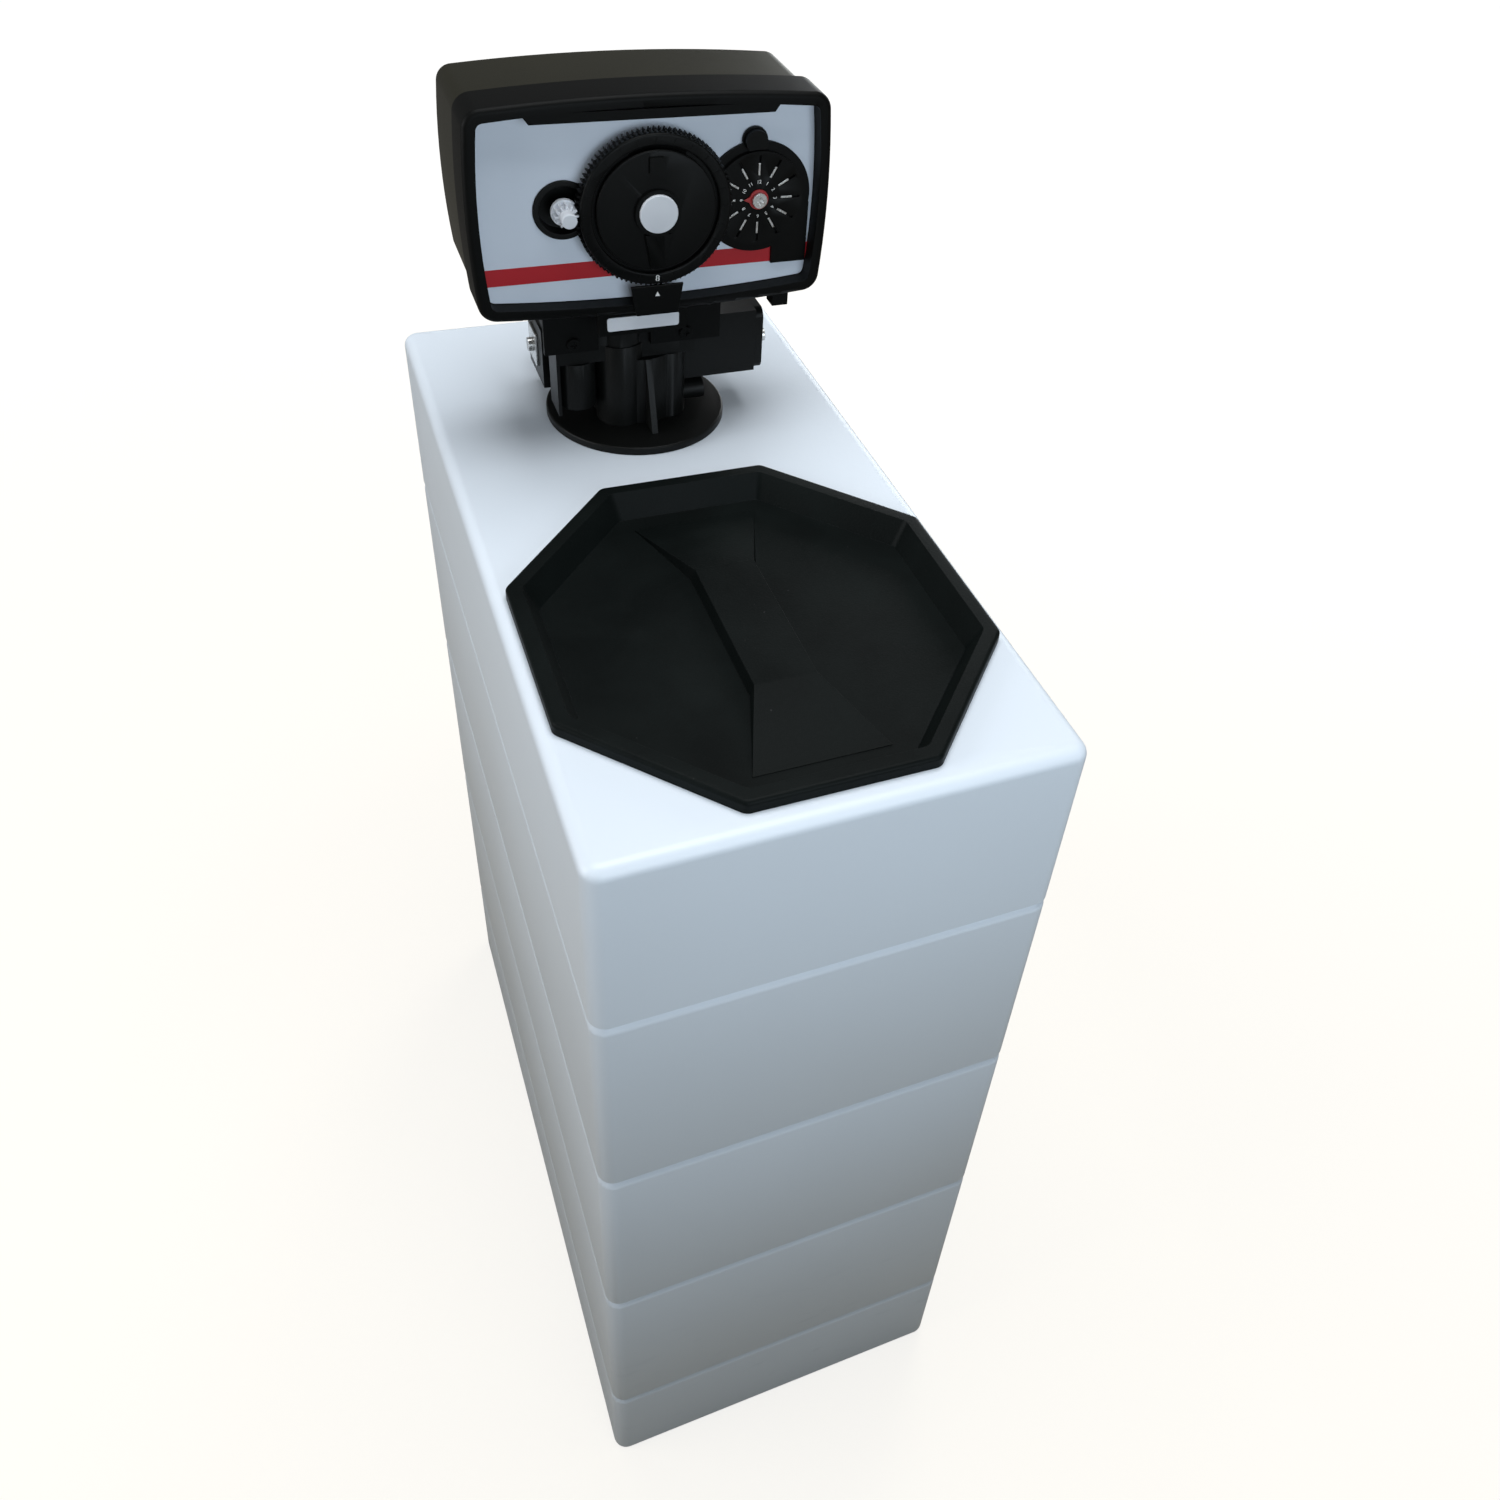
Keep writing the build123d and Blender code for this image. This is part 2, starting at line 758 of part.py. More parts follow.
pickup_top = well_top + pickup_rise
with BuildPart() as brine_pickup:
    upright(well_x, well_y, floor_thickness, floor_thickness + air_check_height, air_check_radius)
    with Locations((well_x, well_y, floor_thickness + air_check_height / 2)):
        with PolarLocations(air_check_radius, strainer_slot_count):
            Box(2 * air_check_slot, air_check_slot, air_check_height / 2, mode=Mode.SUBTRACT)
    upright(well_x, well_y, floor_thickness, pickup_top, pickup_radius)
    upright(well_x, well_y, float_height - float_stop_height, float_height, float_stop_radius)
    upright(well_x, well_y, air_check_height, pickup_top, pickup_radius - pickup_wall, mode=Mode.SUBTRACT)
finish(brine_pickup, "brine_pickup")

with BuildPart() as safety_float:
    float_low = float_height + seat_gap
    upright(well_x, well_y, float_low, float_low + float_length, float_radius)
    fillet(safety_float.edges(), float_edge)
    upright(
        well_x, well_y, float_low, float_low + float_length, pickup_radius + seat_gap, mode=Mode.SUBTRACT
    )
finish(safety_float, "safety_float")

# Screw seats: each plane's origin is on the clamped face, its z axis points out of the head
clip_reach = port_block_half_width + clip_thickness
clip_face_x = (valve_x - clip_reach, valve_x + clip_reach)
clip_y = port_block_back - clip_depth / 2 - port_block_edge - coupling_flange_thickness
retainer_top = deck_top + retainer_thickness
screw_seats = [
    Plane(origin=(clip_face_x[0], clip_y, port_z), z_dir=(-1, 0, 0)),
    Plane(origin=(clip_face_x[1], clip_y, port_z), z_dir=(1, 0, 0)),
]
cap_face_x = injector_end + injector_cap_thickness
for side in (-1, 1):
    screw_y = injector_y + side * injector_screw_spacing / 2
    screw_x = barrel_x + side * retainer_screw_spacing / 2
    screw_seats.append(Plane(origin=(cap_face_x, screw_y, injector_z), z_dir=(1, 0, 0)))
    screw_seats.append(Plane(origin=(screw_x, barrel_y, retainer_top), z_dir=(0, 0, 1)))
head_screw_z = deck_top - bracket_lap / 2
head_screw_seats = [
    front_plane(head_screw_x + side * head_screw_spacing / 2, plate_front, head_screw_z) for side in (-1, 1)
]
shank_hole_radius = screw_shank_radius + running_gap
shank_hole_length = screw_shank_length + seat_gap


def drill_shanks(seats):
    """Clear the shank of each screw out of the piece being built."""
    with Locations(*[seat.location for seat in seats]):
        Cylinder(
            shank_hole_radius,
            shank_hole_length,
            align=(Align.CENTER, Align.CENTER, Align.MAX),
            mode=Mode.SUBTRACT,
        )


with BuildPart() as valve_body:
    upright(valve_x, valve_y, neck_top, neck_top + flange_thickness, flange_radius)
    fillet(valve_body.faces().sort_by(Axis.Z)[-1].edges(), flange_edge)
    upright(
        valve_x, valve_y, neck_top - valve_thread_length, neck_top, tank_neck_radius - tank_wall - seat_gap
    )
    upright(valve_x, valve_y, neck_top, deck_top - deck_thickness, throat_radius)
    level_box(
        valve_x - deck_left, valve_x + deck_right, plate_back, plate_back + deck_depth,
        deck_top - deck_thickness, deck_top,
    )
    upright(barrel_x, barrel_y, neck_top, neck_top + barrel_height, barrel_radius)
    upright(barrel_x, barrel_y, neck_top, deck_top, barrel_top_radius)
    upright(brine_barrel_x, brine_barrel_y, neck_top, deck_top - deck_thickness, brine_barrel_radius)
    upright(
        drain_boss_x, drain_boss_y, neck_top + drain_boss_floor, deck_top - deck_thickness,
        drain_boss_radius,
    )
    gusset_corner = (gusset_x - gusset_thickness / 2, barrel_y, neck_top)
    with BuildSketch(Plane(origin=gusset_corner, x_dir=(0, -1, 0), z_dir=(-1, 0, 0))):
        Polygon(
            (0, 0),
            (gusset_reach, 0),
            (gusset_reach, flange_thickness),
            (gusset_top_reach, gusset_height),
            (0, gusset_height),
            align=None,
        )
    extrude(amount=-gusset_thickness)
    level_box(
        side_rib_x, side_rib_x + side_rib_thickness, plate_back, plate_back + side_rib_depth,
        neck_top + side_rib_floor, deck_top,
    )
    level_box(
        side_rib_x, drain_boss_x, drain_boss_y, drain_boss_y + side_rib_thickness,
        neck_top + side_rib_floor, deck_top - deck_thickness,
    )
    level_box(
        valve_x - port_block_half_width, valve_x + port_block_half_width, port_block_front, port_block_back,
        neck_top + port_block_floor, neck_top + port_block_floor + port_block_height,
    )
    level_box(
        injector_left, injector_end, injector_front, injector_front + injector_depth,
        neck_top + injector_floor, neck_top + injector_floor + injector_height,
    )
    port_root = (brine_barrel_x, brine_barrel_y, neck_top + brine_port_height)
    port_seat = Plane(origin=port_root, z_dir=(1, 0, 0))
    with Locations(port_seat.location):
        Cylinder(brine_port_boss, brine_port_reach, align=(Align.CENTER, Align.CENTER, Align.MIN))
    upright(
        valve_x, valve_y, neck_top - valve_thread_length, neck_top + riser_rise + seat_gap,
        riser_radius + running_gap, mode=Mode.SUBTRACT,
    )
    upright(barrel_x, barrel_y, bore_floor, deck_top, piston_bore_radius, mode=Mode.SUBTRACT)
    upright(
        brine_barrel_x, brine_barrel_y, neck_top + brine_bore_floor, deck_top, stem_radius + running_gap,
        mode=Mode.SUBTRACT,
    )
    with Locations(port_seat.offset(brine_port_reach).location):
        Cylinder(
            brine_port_radius,
            brine_port_reach - stem_radius,
            align=(Align.CENTER, Align.CENTER, Align.MAX),
            mode=Mode.SUBTRACT,
        )
    for bore_x in port_x:
        turned(bore_x, port_z, port_block_back - port_bore_depth, port_block_back, port_bore_radius,
               mode=Mode.SUBTRACT)
    drill_shanks(screw_seats)
    drill_shanks(head_screw_seats)
finish(valve_body, "valve_body")

# Seal stack in the piston bore: seals and spacers take turns from the bore's floor
ring_outer = piston_bore_radius - seal_radius_gap


def stack_ring(low, height):
    """One ring of the stack."""
    upright_tube(barrel_x, barrel_y, low, low + height, ring_outer, seal_inner_radius)


with BuildPart() as piston_seals:
    for index in range(seal_count):
        stack_ring(bore_floor + index * (seal_height + spacer_height), seal_height)
finish(piston_seals, "piston_seals")

with BuildPart() as seal_spacers:
    for index in range(seal_count - 1):
        stack_ring(bore_floor + seal_height + index * (seal_height + spacer_height), spacer_height)
finish(seal_spacers, "seal_spacers")

stack_top = bore_floor + seal_count * seal_height + (seal_count - 1) * spacer_height
with BuildPart() as end_plug:
    upright(barrel_x, barrel_y, stack_top + sliding_gap, deck_top, ring_outer)
    upright(barrel_x, barrel_y, stack_top, deck_top, rod_radius + running_gap, mode=Mode.SUBTRACT)
finish(end_plug, "end_plug")

with BuildPart() as plug_retainer:
    with BuildSketch(Plane.XY.offset(deck_top)):
        with Locations((barrel_x, barrel_y)):
            Rectangle(retainer_width, retainer_depth - 2 * seat_gap)
    extrude(amount=retainer_thickness)
    level_box(
        barrel_x - retainer_width / 2, barrel_x + retainer_width / 2, barrel_y - retainer_depth,
        plate_back + seat_gap, deck_top, retainer_top, mode=Mode.SUBTRACT,
    )
    upright(barrel_x, barrel_y, deck_top, retainer_top, rod_radius + seat_gap, mode=Mode.SUBTRACT)
    drill_shanks(screw_seats)
finish(plug_retainer, "plug_retainer")

piston_low = neck_top + piston_start
piston_top = piston_low + piston_length
with BuildPart() as piston:
    upright(barrel_x, barrel_y, piston_low, piston_top, piston_waist_radius)
    upright(barrel_x, barrel_y, piston_low, piston_low + piston_land, piston_radius)
    upright(barrel_x, barrel_y, piston_top - piston_land, piston_top, piston_radius)
finish(piston, "piston")

with BuildPart() as piston_rod:
    upright(barrel_x, barrel_y, piston_top, gear_z, rod_radius)
    yoke_front = barrel_y - rod_radius
    with BuildSketch(front_plane(gear_x, yoke_front, gear_z)):
        RectangleRounded(yoke_width, yoke_height, yoke_side)
        Rectangle(yoke_width - 2 * yoke_side, yoke_slot_height, mode=Mode.SUBTRACT)
    extrude(amount=-yoke_thickness)
    level_box(
        gear_x - yoke_width / 2 + yoke_side, gear_x + yoke_width / 2 - yoke_side,
        yoke_front, barrel_y + rod_radius,
        gear_z - yoke_slot_height / 2, gear_z + yoke_slot_height / 2, mode=Mode.SUBTRACT,
    )
finish(piston_rod, "piston_rod")

with BuildPart() as brine_stem:
    upright(brine_barrel_x, brine_barrel_y, neck_top + stem_start, stem_top, stem_radius)
    with Locations((brine_barrel_x, brine_barrel_y + stem_radius, stem_top)):
        Box(
            stem_head_width,
            stem_head_depth,
            stem_head_thickness,
            align=(Align.CENTER, Align.MAX, Align.MAX),
        )
finish(brine_stem, "brine_stem")

with BuildPart() as injector_cap:
    cap_seat = Plane(origin=(injector_end, injector_y, injector_z), x_dir=(0, 1, 0), z_dir=(1, 0, 0))
    with BuildSketch(cap_seat):
        RectangleRounded(injector_depth, injector_height, injector_edge)
    extrude(amount=injector_cap_thickness)
    drill_shanks(screw_seats)
finish(injector_cap, "injector_cap")

with BuildPart() as port_clips:
    for face_x, inward in zip(clip_face_x, (clip_thickness, -clip_thickness)):
        with BuildSketch(Plane(origin=(face_x, clip_y, port_z), x_dir=(0, 1, 0), z_dir=(1, 0, 0))):
            RectangleRounded(clip_depth, clip_height, clip_thickness)
        extrude(amount=inward)
    drill_shanks(screw_seats)
finish(port_clips, "port_clips")

with BuildPart() as valve_screws:
    with Locations(*[seat.location for seat in screw_seats]):
        Cylinder(screw_head_radius, screw_head_height, align=(Align.CENTER, Align.CENTER, Align.MIN))
        Cylinder(screw_shank_radius, screw_shank_length, align=(Align.CENTER, Align.CENTER, Align.MAX))
    with Locations(*[seat.offset(screw_head_height).location for seat in screw_seats]):
        Box(3 * screw_head_radius, screw_slot, 2 * screw_slot_depth, mode=Mode.SUBTRACT)
finish(valve_screws, "valve_screws")


def coupling(bore_x):
    """Threaded coupling that plugs into a port and stands out to the back."""
    flange_back = port_block_back + coupling_flange_thickness
    turned(bore_x, port_z, port_block_back - port_bore_depth + seat_gap, port_block_back,
           port_bore_radius - seat_gap)
    turned(bore_x, port_z, port_block_back, flange_back, coupling_flange_radius)
    turned(bore_x, port_z, flange_back, flange_back + coupling_thread_length, coupling_thread_radius)
    turned(bore_x, port_z, port_block_back - port_bore_depth, flange_back + coupling_thread_length,
           coupling_bore_radius, mode=Mode.SUBTRACT)


with BuildPart() as inlet_coupling:
    coupling(port_x[0])
finish(inlet_coupling, "inlet_coupling")

with BuildPart() as outlet_coupling:
    coupling(port_x[1])
finish(outlet_coupling, "outlet_coupling")

drain_z = neck_top + drain_height
drain_front = plate_back + deck_depth
barb_start = drain_front + drain_nut_length
with BuildPart() as drain_fitting:
    turned(drain_boss_x, drain_z, drain_front, barb_start, drain_nut_radius)
    for index in range(drain_barb_count):
        ridge = barb_start + index * drain_barb_pitch
        with BuildSketch(front_plane(drain_boss_x, ridge, drain_z)) as wide_end:
            Circle(drain_barb_radius + drain_barb_step)
        with BuildSketch(front_plane(drain_boss_x, ridge + drain_barb_pitch, drain_z)) as narrow_end:
            Circle(drain_barb_radius)
        loft(sections=[wide_end.sketch, narrow_end.sketch])
    turned(drain_boss_x, drain_z, drain_front, barb_start + drain_barb_count * drain_barb_pitch,
           drain_bore_radius, mode=Mode.SUBTRACT)
finish(drain_fitting, "drain_fitting")

# Power head casing
head_low = head_z - head_height / 2
bracket_low = deck_top - bracket_lap
with BuildPart() as front_frame:
    extrude(head_outline(head_front_y, 0), amount=-frame_depth)
    fillet(front_frame.faces().sort_by(Axis.Y)[0].edges(), frame_edge)
    extrude(head_outline(head_front_y, opening_inset), amount=head_front_y - label_back, mode=Mode.SUBTRACT)
    extrude(head_outline(label_back, ledge_inset), amount=-frame_depth, mode=Mode.SUBTRACT)
    extrude(head_outline(label_back + ledge_thickness, frame_wall), amount=-frame_depth, mode=Mode.SUBTRACT)
    tab_low = head_z + head_height / 2 - tab_drop
    tab_high = head_z + head_height / 2 - head_top_bow - frame_edge
    with BuildSketch(front_plane(head_x, head_front_y + tab_thickness, 0)):
        Polygon(
            (-tab_width / 2, tab_low),
            (tab_width / 2, tab_low),
            (tab_width / 2 + tab_slant, tab_high),
            (-tab_width / 2 - tab_slant, tab_high),
            align=None,
        )
    extrude(amount=tab_thickness)
    apron_front = head_front_y + apron_setback
    level_box(
        apron_x - apron_width / 2, apron_x + apron_width / 2, apron_front, apron_front + apron_thickness,
        head_low - apron_drop, head_low + opening_inset / 2,
    )
    lug_front = head_front_y + lug_setback
    level_box(
        lug_x - lug_width / 2, lug_x + lug_width / 2, lug_front, lug_front + lug_depth,
        head_low - lug_drop, head_low + opening_inset,
    )
finish(front_frame, "front_frame")

cover_front = plate_front
cover_back = cover_front + cover_depth
gland_z = head_z - gland_drop
with BuildPart() as cover_cavity:
    extrude(head_outline(cover_front, cover_inset + cover_wall, cover_drop), amount=cover_wall - cover_depth)
    fillet(cover_cavity.faces().sort_by(Axis.Y)[-1].edges(), cover_edge - cover_wall)

with BuildPart() as rear_cover:
    extrude(head_outline(cover_front, cover_inset, cover_drop), amount=-cover_depth)
    fillet(rear_cover.faces().sort_by(Axis.Y)[-1].edges(), cover_edge)
    add(cover_cavity.part, mode=Mode.SUBTRACT)
    level_box(
        bracket_x - cover_cutout_width / 2, bracket_x + cover_cutout_width / 2, cover_front,
        cover_front + cover_cutout_depth, head_low, head_low + cover_cutout_height, mode=Mode.SUBTRACT,
    )
    turned(gland_x, gland_z, cover_back - cover_edge, cover_back + overrun, gland_radius + running_gap,
           mode=Mode.SUBTRACT)
finish(rear_cover, "rear_cover")

with BuildPart() as cord_gland:
    gland_front = cover_back + gland_flange_thickness - gland_length
    turned(gland_x, gland_z, gland_front, cover_back, gland_radius)
    turned(gland_x, gland_z, cover_back, cover_back + gland_flange_thickness, gland_flange_radius)
    turned(gland_x, gland_z, gland_front, cover_back + gland_flange_thickness, gland_bore_radius,
           mode=Mode.SUBTRACT)
finish(cord_gland, "cord_gland")

with BuildPart() as label_plate:
    extrude(head_outline(label_front, opening_inset + sliding_gap), amount=-label_thickness)
    turned(gear_x, gear_z, label_front, label_back, knob_shaft_radius + seat_gap, mode=Mode.SUBTRACT)
    turned(pinion_x, gear_z, label_front, label_back, cup_radius + seat_gap, mode=Mode.SUBTRACT)
    turned(skipper_x, skipper_z, label_front, label_back, axle_radius + seat_gap, mode=Mode.SUBTRACT)
finish(label_plate, "label_plate")

with BuildPart() as back_plate:
    extrude(head_outline(plate_front, back_plate_inset, cover_drop), amount=-back_plate_thickness)
    level_box(
        bracket_x - bracket_width / 2, bracket_x + bracket_width / 2, plate_front, plate_back,
        bracket_low, head_low + cover_cutout_height,
    )
    level_box(
        barrel_x - bracket_notch_width / 2, barrel_x + bracket_notch_width / 2, plate_front, plate_back,
        bracket_low, bracket_low + bracket_notch_height, mode=Mode.SUBTRACT,
    )
    turned(gear_x, gear_z, plate_front, plate_back, knob_shaft_radius + running_gap, mode=Mode.SUBTRACT)
    turned(pinion_x, gear_z, plate_front, plate_back, set_shaft_radius + running_gap, mode=Mode.SUBTRACT)
    turned(skipper_x, skipper_z, plate_front, plate_back, axle_radius + running_gap, mode=Mode.SUBTRACT)
    drill_shanks(head_screw_seats)
finish(back_plate, "back_plate")

with BuildPart() as head_screws:
    with Locations(*[seat.location for seat in head_screw_seats]):
        Cylinder(head_screw_radius, head_screw_head, align=(Align.CENTER, Align.CENTER, Align.MIN))
        Cylinder(screw_shank_radius, screw_shank_length, align=(Align.CENTER, Align.CENTER, Align.MAX))
    with Locations(*[seat.offset(head_screw_head).location for seat in head_screw_seats]):
        for turn in (0, 90):
            Box(head_screw_radius, cross_slot, 2 * cross_depth, rotation=(0, 0, turn), mode=Mode.SUBTRACT)
finish(head_screws, "head_screws")

motor_x = pinion_x + motor_offset_x
motor_z = gear_z + motor_offset_z
motor_front = plate_back + seat_gap
with BuildPart() as drive_motor:
    turned(motor_x, motor_z, motor_front, motor_front + motor_length, motor_radius)
    fillet(drive_motor.faces().sort_by(Axis.Y)[-1].edges(), motor_edge)
    level_box(
        motor_x - motor_strap_width / 2, motor_x + motor_strap_width / 2,
        motor_front, motor_front + motor_strap_thickness,
        motor_z - motor_strap_length / 2, motor_z + motor_strap_length / 2,
    )
    shaft_back = pinion_front - pinion_hub_length + pinion_nose + set_shaft_length
    turned(pinion_x, gear_z, motor_front, shaft_back + set_travel + seat_gap, set_shaft_radius + seat_gap,
           mode=Mode.SUBTRACT)
finish(drive_motor, "drive_motor")

# Clock work: the pinion's tooth faces the day gear's gap on the line between the two centres
day_gear_phase_share = 0.5
with BuildPart() as day_gear:
    extrude(gear_outline(gear_x, day_gear_front, gear_z, gear_module, day_gear_teeth, day_gear_phase_share),
            amount=-day_gear_thickness)
    rim_front = day_gear_front - dial_rim_height
    turned(gear_x, gear_z, rim_front, day_gear_front, dial_rim_outer)
    turned(gear_x, gear_z, rim_front, day_gear_front, dial_rim_outer - dial_rim_width, mode=Mode.SUBTRACT)
    fillet(day_gear.faces().sort_by(Axis.Y)[0].edges(), dial_rim_edge)
    turned(gear_x, gear_z, day_gear_back, label_front - seat_gap, day_hub_radius)
    turned(gear_x, gear_z, day_gear_front, label_front, knob_hub_radius + running_gap, mode=Mode.SUBTRACT)
finish(day_gear, "day_gear")

knob_hub_back = day_gear_back + day_gear_thickness / 2
with BuildPart() as program_knob:
    turned(gear_x, gear_z, knob_front, knob_back, knob_radius)
    fillet(program_knob.faces().sort_by(Axis.Y)[0].edges(), knob_edge)
    turned(gear_x, gear_z, ring_front, knob_front, button_radius + knob_ring_wall)
    turned(gear_x, gear_z, knob_back, knob_hub_back, knob_hub_radius)
    with BuildSketch(front_plane(gear_x, knob_front, gear_z + knob_block_rise)):
        RectangleRounded(knob_block_width, knob_block_height, knob_edge)
    extrude(amount=knob_block_thickness)
    with BuildSketch(front_plane(gear_x, knob_front, gear_z)):
        Polygon(
            (-knob_pointer_top_width / 2, -knob_pointer_start),
            (-knob_pointer_tip_width / 2, -knob_pointer_end),
            (knob_pointer_tip_width / 2, -knob_pointer_end),
            (knob_pointer_top_width / 2, -knob_pointer_start),
            align=None,
        )
    extrude(amount=knob_pointer_thickness)
    turned(gear_x, gear_z, ring_front - knob_pointer_thickness, well_floor, button_radius + sliding_gap,
           mode=Mode.SUBTRACT)
    turned(gear_x, gear_z, knob_hub_back, main_gear_back, knob_shaft_radius)
finish(program_knob, "program_knob")

with BuildPart() as center_button:
    turned(gear_x, gear_z, button_front, button_front + button_thickness, button_radius)
    fillet(center_button.faces().sort_by(Axis.Y)[0].edges(), button_edge)
finish(center_button, "center_button")

with BuildPart() as main_gear:
    extrude(gear_outline(gear_x, main_gear_front, gear_z, main_gear_module, main_gear_teeth, 0),
            amount=-main_gear_thickness)
    turned(barrel_x, gear_z, main_gear_back, main_gear_back + crank_pin_length, crank_pin_radius)
    with BuildSketch(front_plane(gear_x, main_gear_back, gear_z)):
        with Locations((0, cam_radius)):
            Rectangle(cam_width, cam_width, align=(Align.CENTER, Align.MAX))
        Circle(cam_radius, mode=Mode.INTERSECT)
    extrude(amount=-crank_pin_length)
    turned(gear_x, gear_z, main_gear_front, main_gear_back, knob_shaft_radius + running_gap,
           mode=Mode.SUBTRACT)
finish(main_gear, "main_gear")

pinion_hub_front = pinion_front - pinion_hub_length
pinion_back = pinion_front + pinion_face
with BuildPart() as drive_pinion:
    extrude(gear_outline(pinion_x, pinion_front, gear_z, gear_module, pinion_teeth, 0), amount=-pinion_face)
    turned(pinion_x, gear_z, pinion_hub_front, pinion_front, pinion_hub_radius)
    fillet(drive_pinion.faces().sort_by(Axis.Y)[0].edges(), button_edge)
    flange_back = pinion_back + pinion_flange_thickness
    turned(pinion_x, gear_z, pinion_back, flange_back, pinion_flange_radius)
    turned(pinion_x, gear_z, pinion_hub_front + pinion_nose - seat_gap, flange_back,
           set_shaft_radius + running_gap, mode=Mode.SUBTRACT)
finish(drive_pinion, "drive_pinion")

with BuildPart() as set_shaft:
    turned(pinion_x, gear_z, shaft_back - set_shaft_length, shaft_back, set_shaft_radius)
finish(set_shaft, "set_shaft")

cup_back = label_front + cup_depth
with BuildPart() as pinion_cup:
    cup_front = label_front - cup_flange_thickness
    turned(pinion_x, gear_z, cup_front, label_front, cup_flange_radius)
    turned(pinion_x, gear_z, label_front, cup_back, cup_radius)
    turned(pinion_x, gear_z, cup_front, cup_back - cup_floor, cup_radius - cup_wall, mode=Mode.SUBTRACT)
    turned(pinion_x, gear_z, label_front, cup_back, set_shaft_radius + seat_gap, mode=Mode.SUBTRACT)
finish(pinion_cup, "pinion_cup")

with BuildPart() as time_pointer:
    with BuildSketch(front_plane(gear_x, head_front_y, gear_z - time_pointer_drop)):
        Polygon(
            (-time_pointer_bottom_width / 2, 0),
            (time_pointer_bottom_width / 2, 0),
            (time_pointer_top_width / 2, time_pointer_height),
            (-time_pointer_top_width / 2, time_pointer_height),
            align=None,
        )
    extrude(amount=time_pointer_thickness)
finish(time_pointer, "time_pointer")

with BuildPart() as blank_tag:
    with BuildSketch(front_plane(apron_x, apron_front, head_low - tag_drop - tag_height / 2)):
        RectangleRounded(tag_width, tag_height, tag_corner)
    extrude(amount=tag_thickness)
finish(blank_tag, "blank_tag")

# Skipper wheel with its day tabs
with BuildPart() as skipper_base:
    with BuildSketch(front_plane(skipper_x, label_front, skipper_z)):
        Circle(skipper_base_radius)
        with Locations((skipper_bump_shift, skipper_bump_reach)):
            Circle(skipper_bump_radius)
        with Locations((skipper_foot_reach, -skipper_foot_drop)):
            Rectangle(skipper_foot_width, skipper_foot_height, align=(Align.CENTER, Align.CENTER))
        Circle(axle_radius + seat_gap, mode=Mode.SUBTRACT)
    extrude(amount=skipper_base_thickness)
    with BuildSketch(front_plane(skipper_x, label_front - skipper_base_thickness, skipper_z)):
        with Locations((skipper_bump_shift, skipper_bump_reach)):
            Circle(skipper_bump_radius - skipper_bump_step)
        Circle(wheel_radius + overrun, mode=Mode.SUBTRACT)
    extrude(amount=skipper_bump_height)
finish(skipper_base, "skipper_base")

slot_length = tab_radial_length + tab_radial_travel + 2 * sliding_gap
with BuildPart() as skipper_wheel:
    turned(skipper_x, skipper_z, wheel_front, wheel_back, wheel_radius)
    with BuildSketch(front_plane(skipper_x, wheel_front, skipper_z)):
        with PolarLocations(tab_start_radius - sliding_gap, tab_count):
            Rectangle(slot_length, tab_width_across + 2 * sliding_gap, align=(Align.MIN, Align.CENTER))
    extrude(amount=-tab_face_thickness - 2 * sliding_gap, mode=Mode.SUBTRACT)
    turned(skipper_x, skipper_z, wheel_front, wheel_back, axle_radius + running_gap, mode=Mode.SUBTRACT)
finish(skipper_wheel, "skipper_wheel")

for index in range(tab_count):
    turn = index * 360 / tab_count
    with BuildPart() as day_tab:
        with BuildSketch(front_plane(skipper_x, wheel_front + sliding_gap, skipper_z)):
            with PolarLocations(tab_start_radius, 1, start_angle=turn):
                Rectangle(tab_radial_length, tab_width_across, align=(Align.MIN, Align.CENTER))
        extrude(amount=-tab_face_thickness)
    finish(day_tab, f"day_tab_{index + 1}")

pointer_back = wheel_front - sliding_gap
with BuildPart() as skipper_pointer:
    with BuildSketch(front_plane(skipper_x, pointer_back, skipper_z)):
        Circle(pointer_ring_radius)
        Polygon(
            (-pointer_reach, 0),
            (0, -pointer_base_share * pointer_ring_radius),
            (0, pointer_base_share * pointer_ring_radius),
            align=None,
        )
        Circle(axle_radius + running_gap, mode=Mode.SUBTRACT)
    extrude(amount=pointer_thickness)
finish(skipper_pointer, "skipper_pointer")

axle_seat = pointer_back - pointer_thickness
with BuildPart() as skipper_screw:
    turned(skipper_x, skipper_z, axle_seat, plate_back, axle_radius)
    turned(skipper_x, skipper_z, axle_seat - axle_head_height, axle_seat, axle_head_radius)
    with BuildSketch(front_plane(skipper_x, axle_seat - axle_head_height, skipper_z)):
        Rectangle(axle_head_radius, cross_slot)
        Rectangle(cross_slot, axle_head_radius)
    extrude(amount=-cross_depth, mode=Mode.SUBTRACT)
finish(skipper_screw, "skipper_screw")
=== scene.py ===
import json
import math

import bmesh
import bpy
from bpy.props import FloatProperty, FloatVectorProperty, IntProperty, PointerProperty
from mathutils import Matrix, Vector

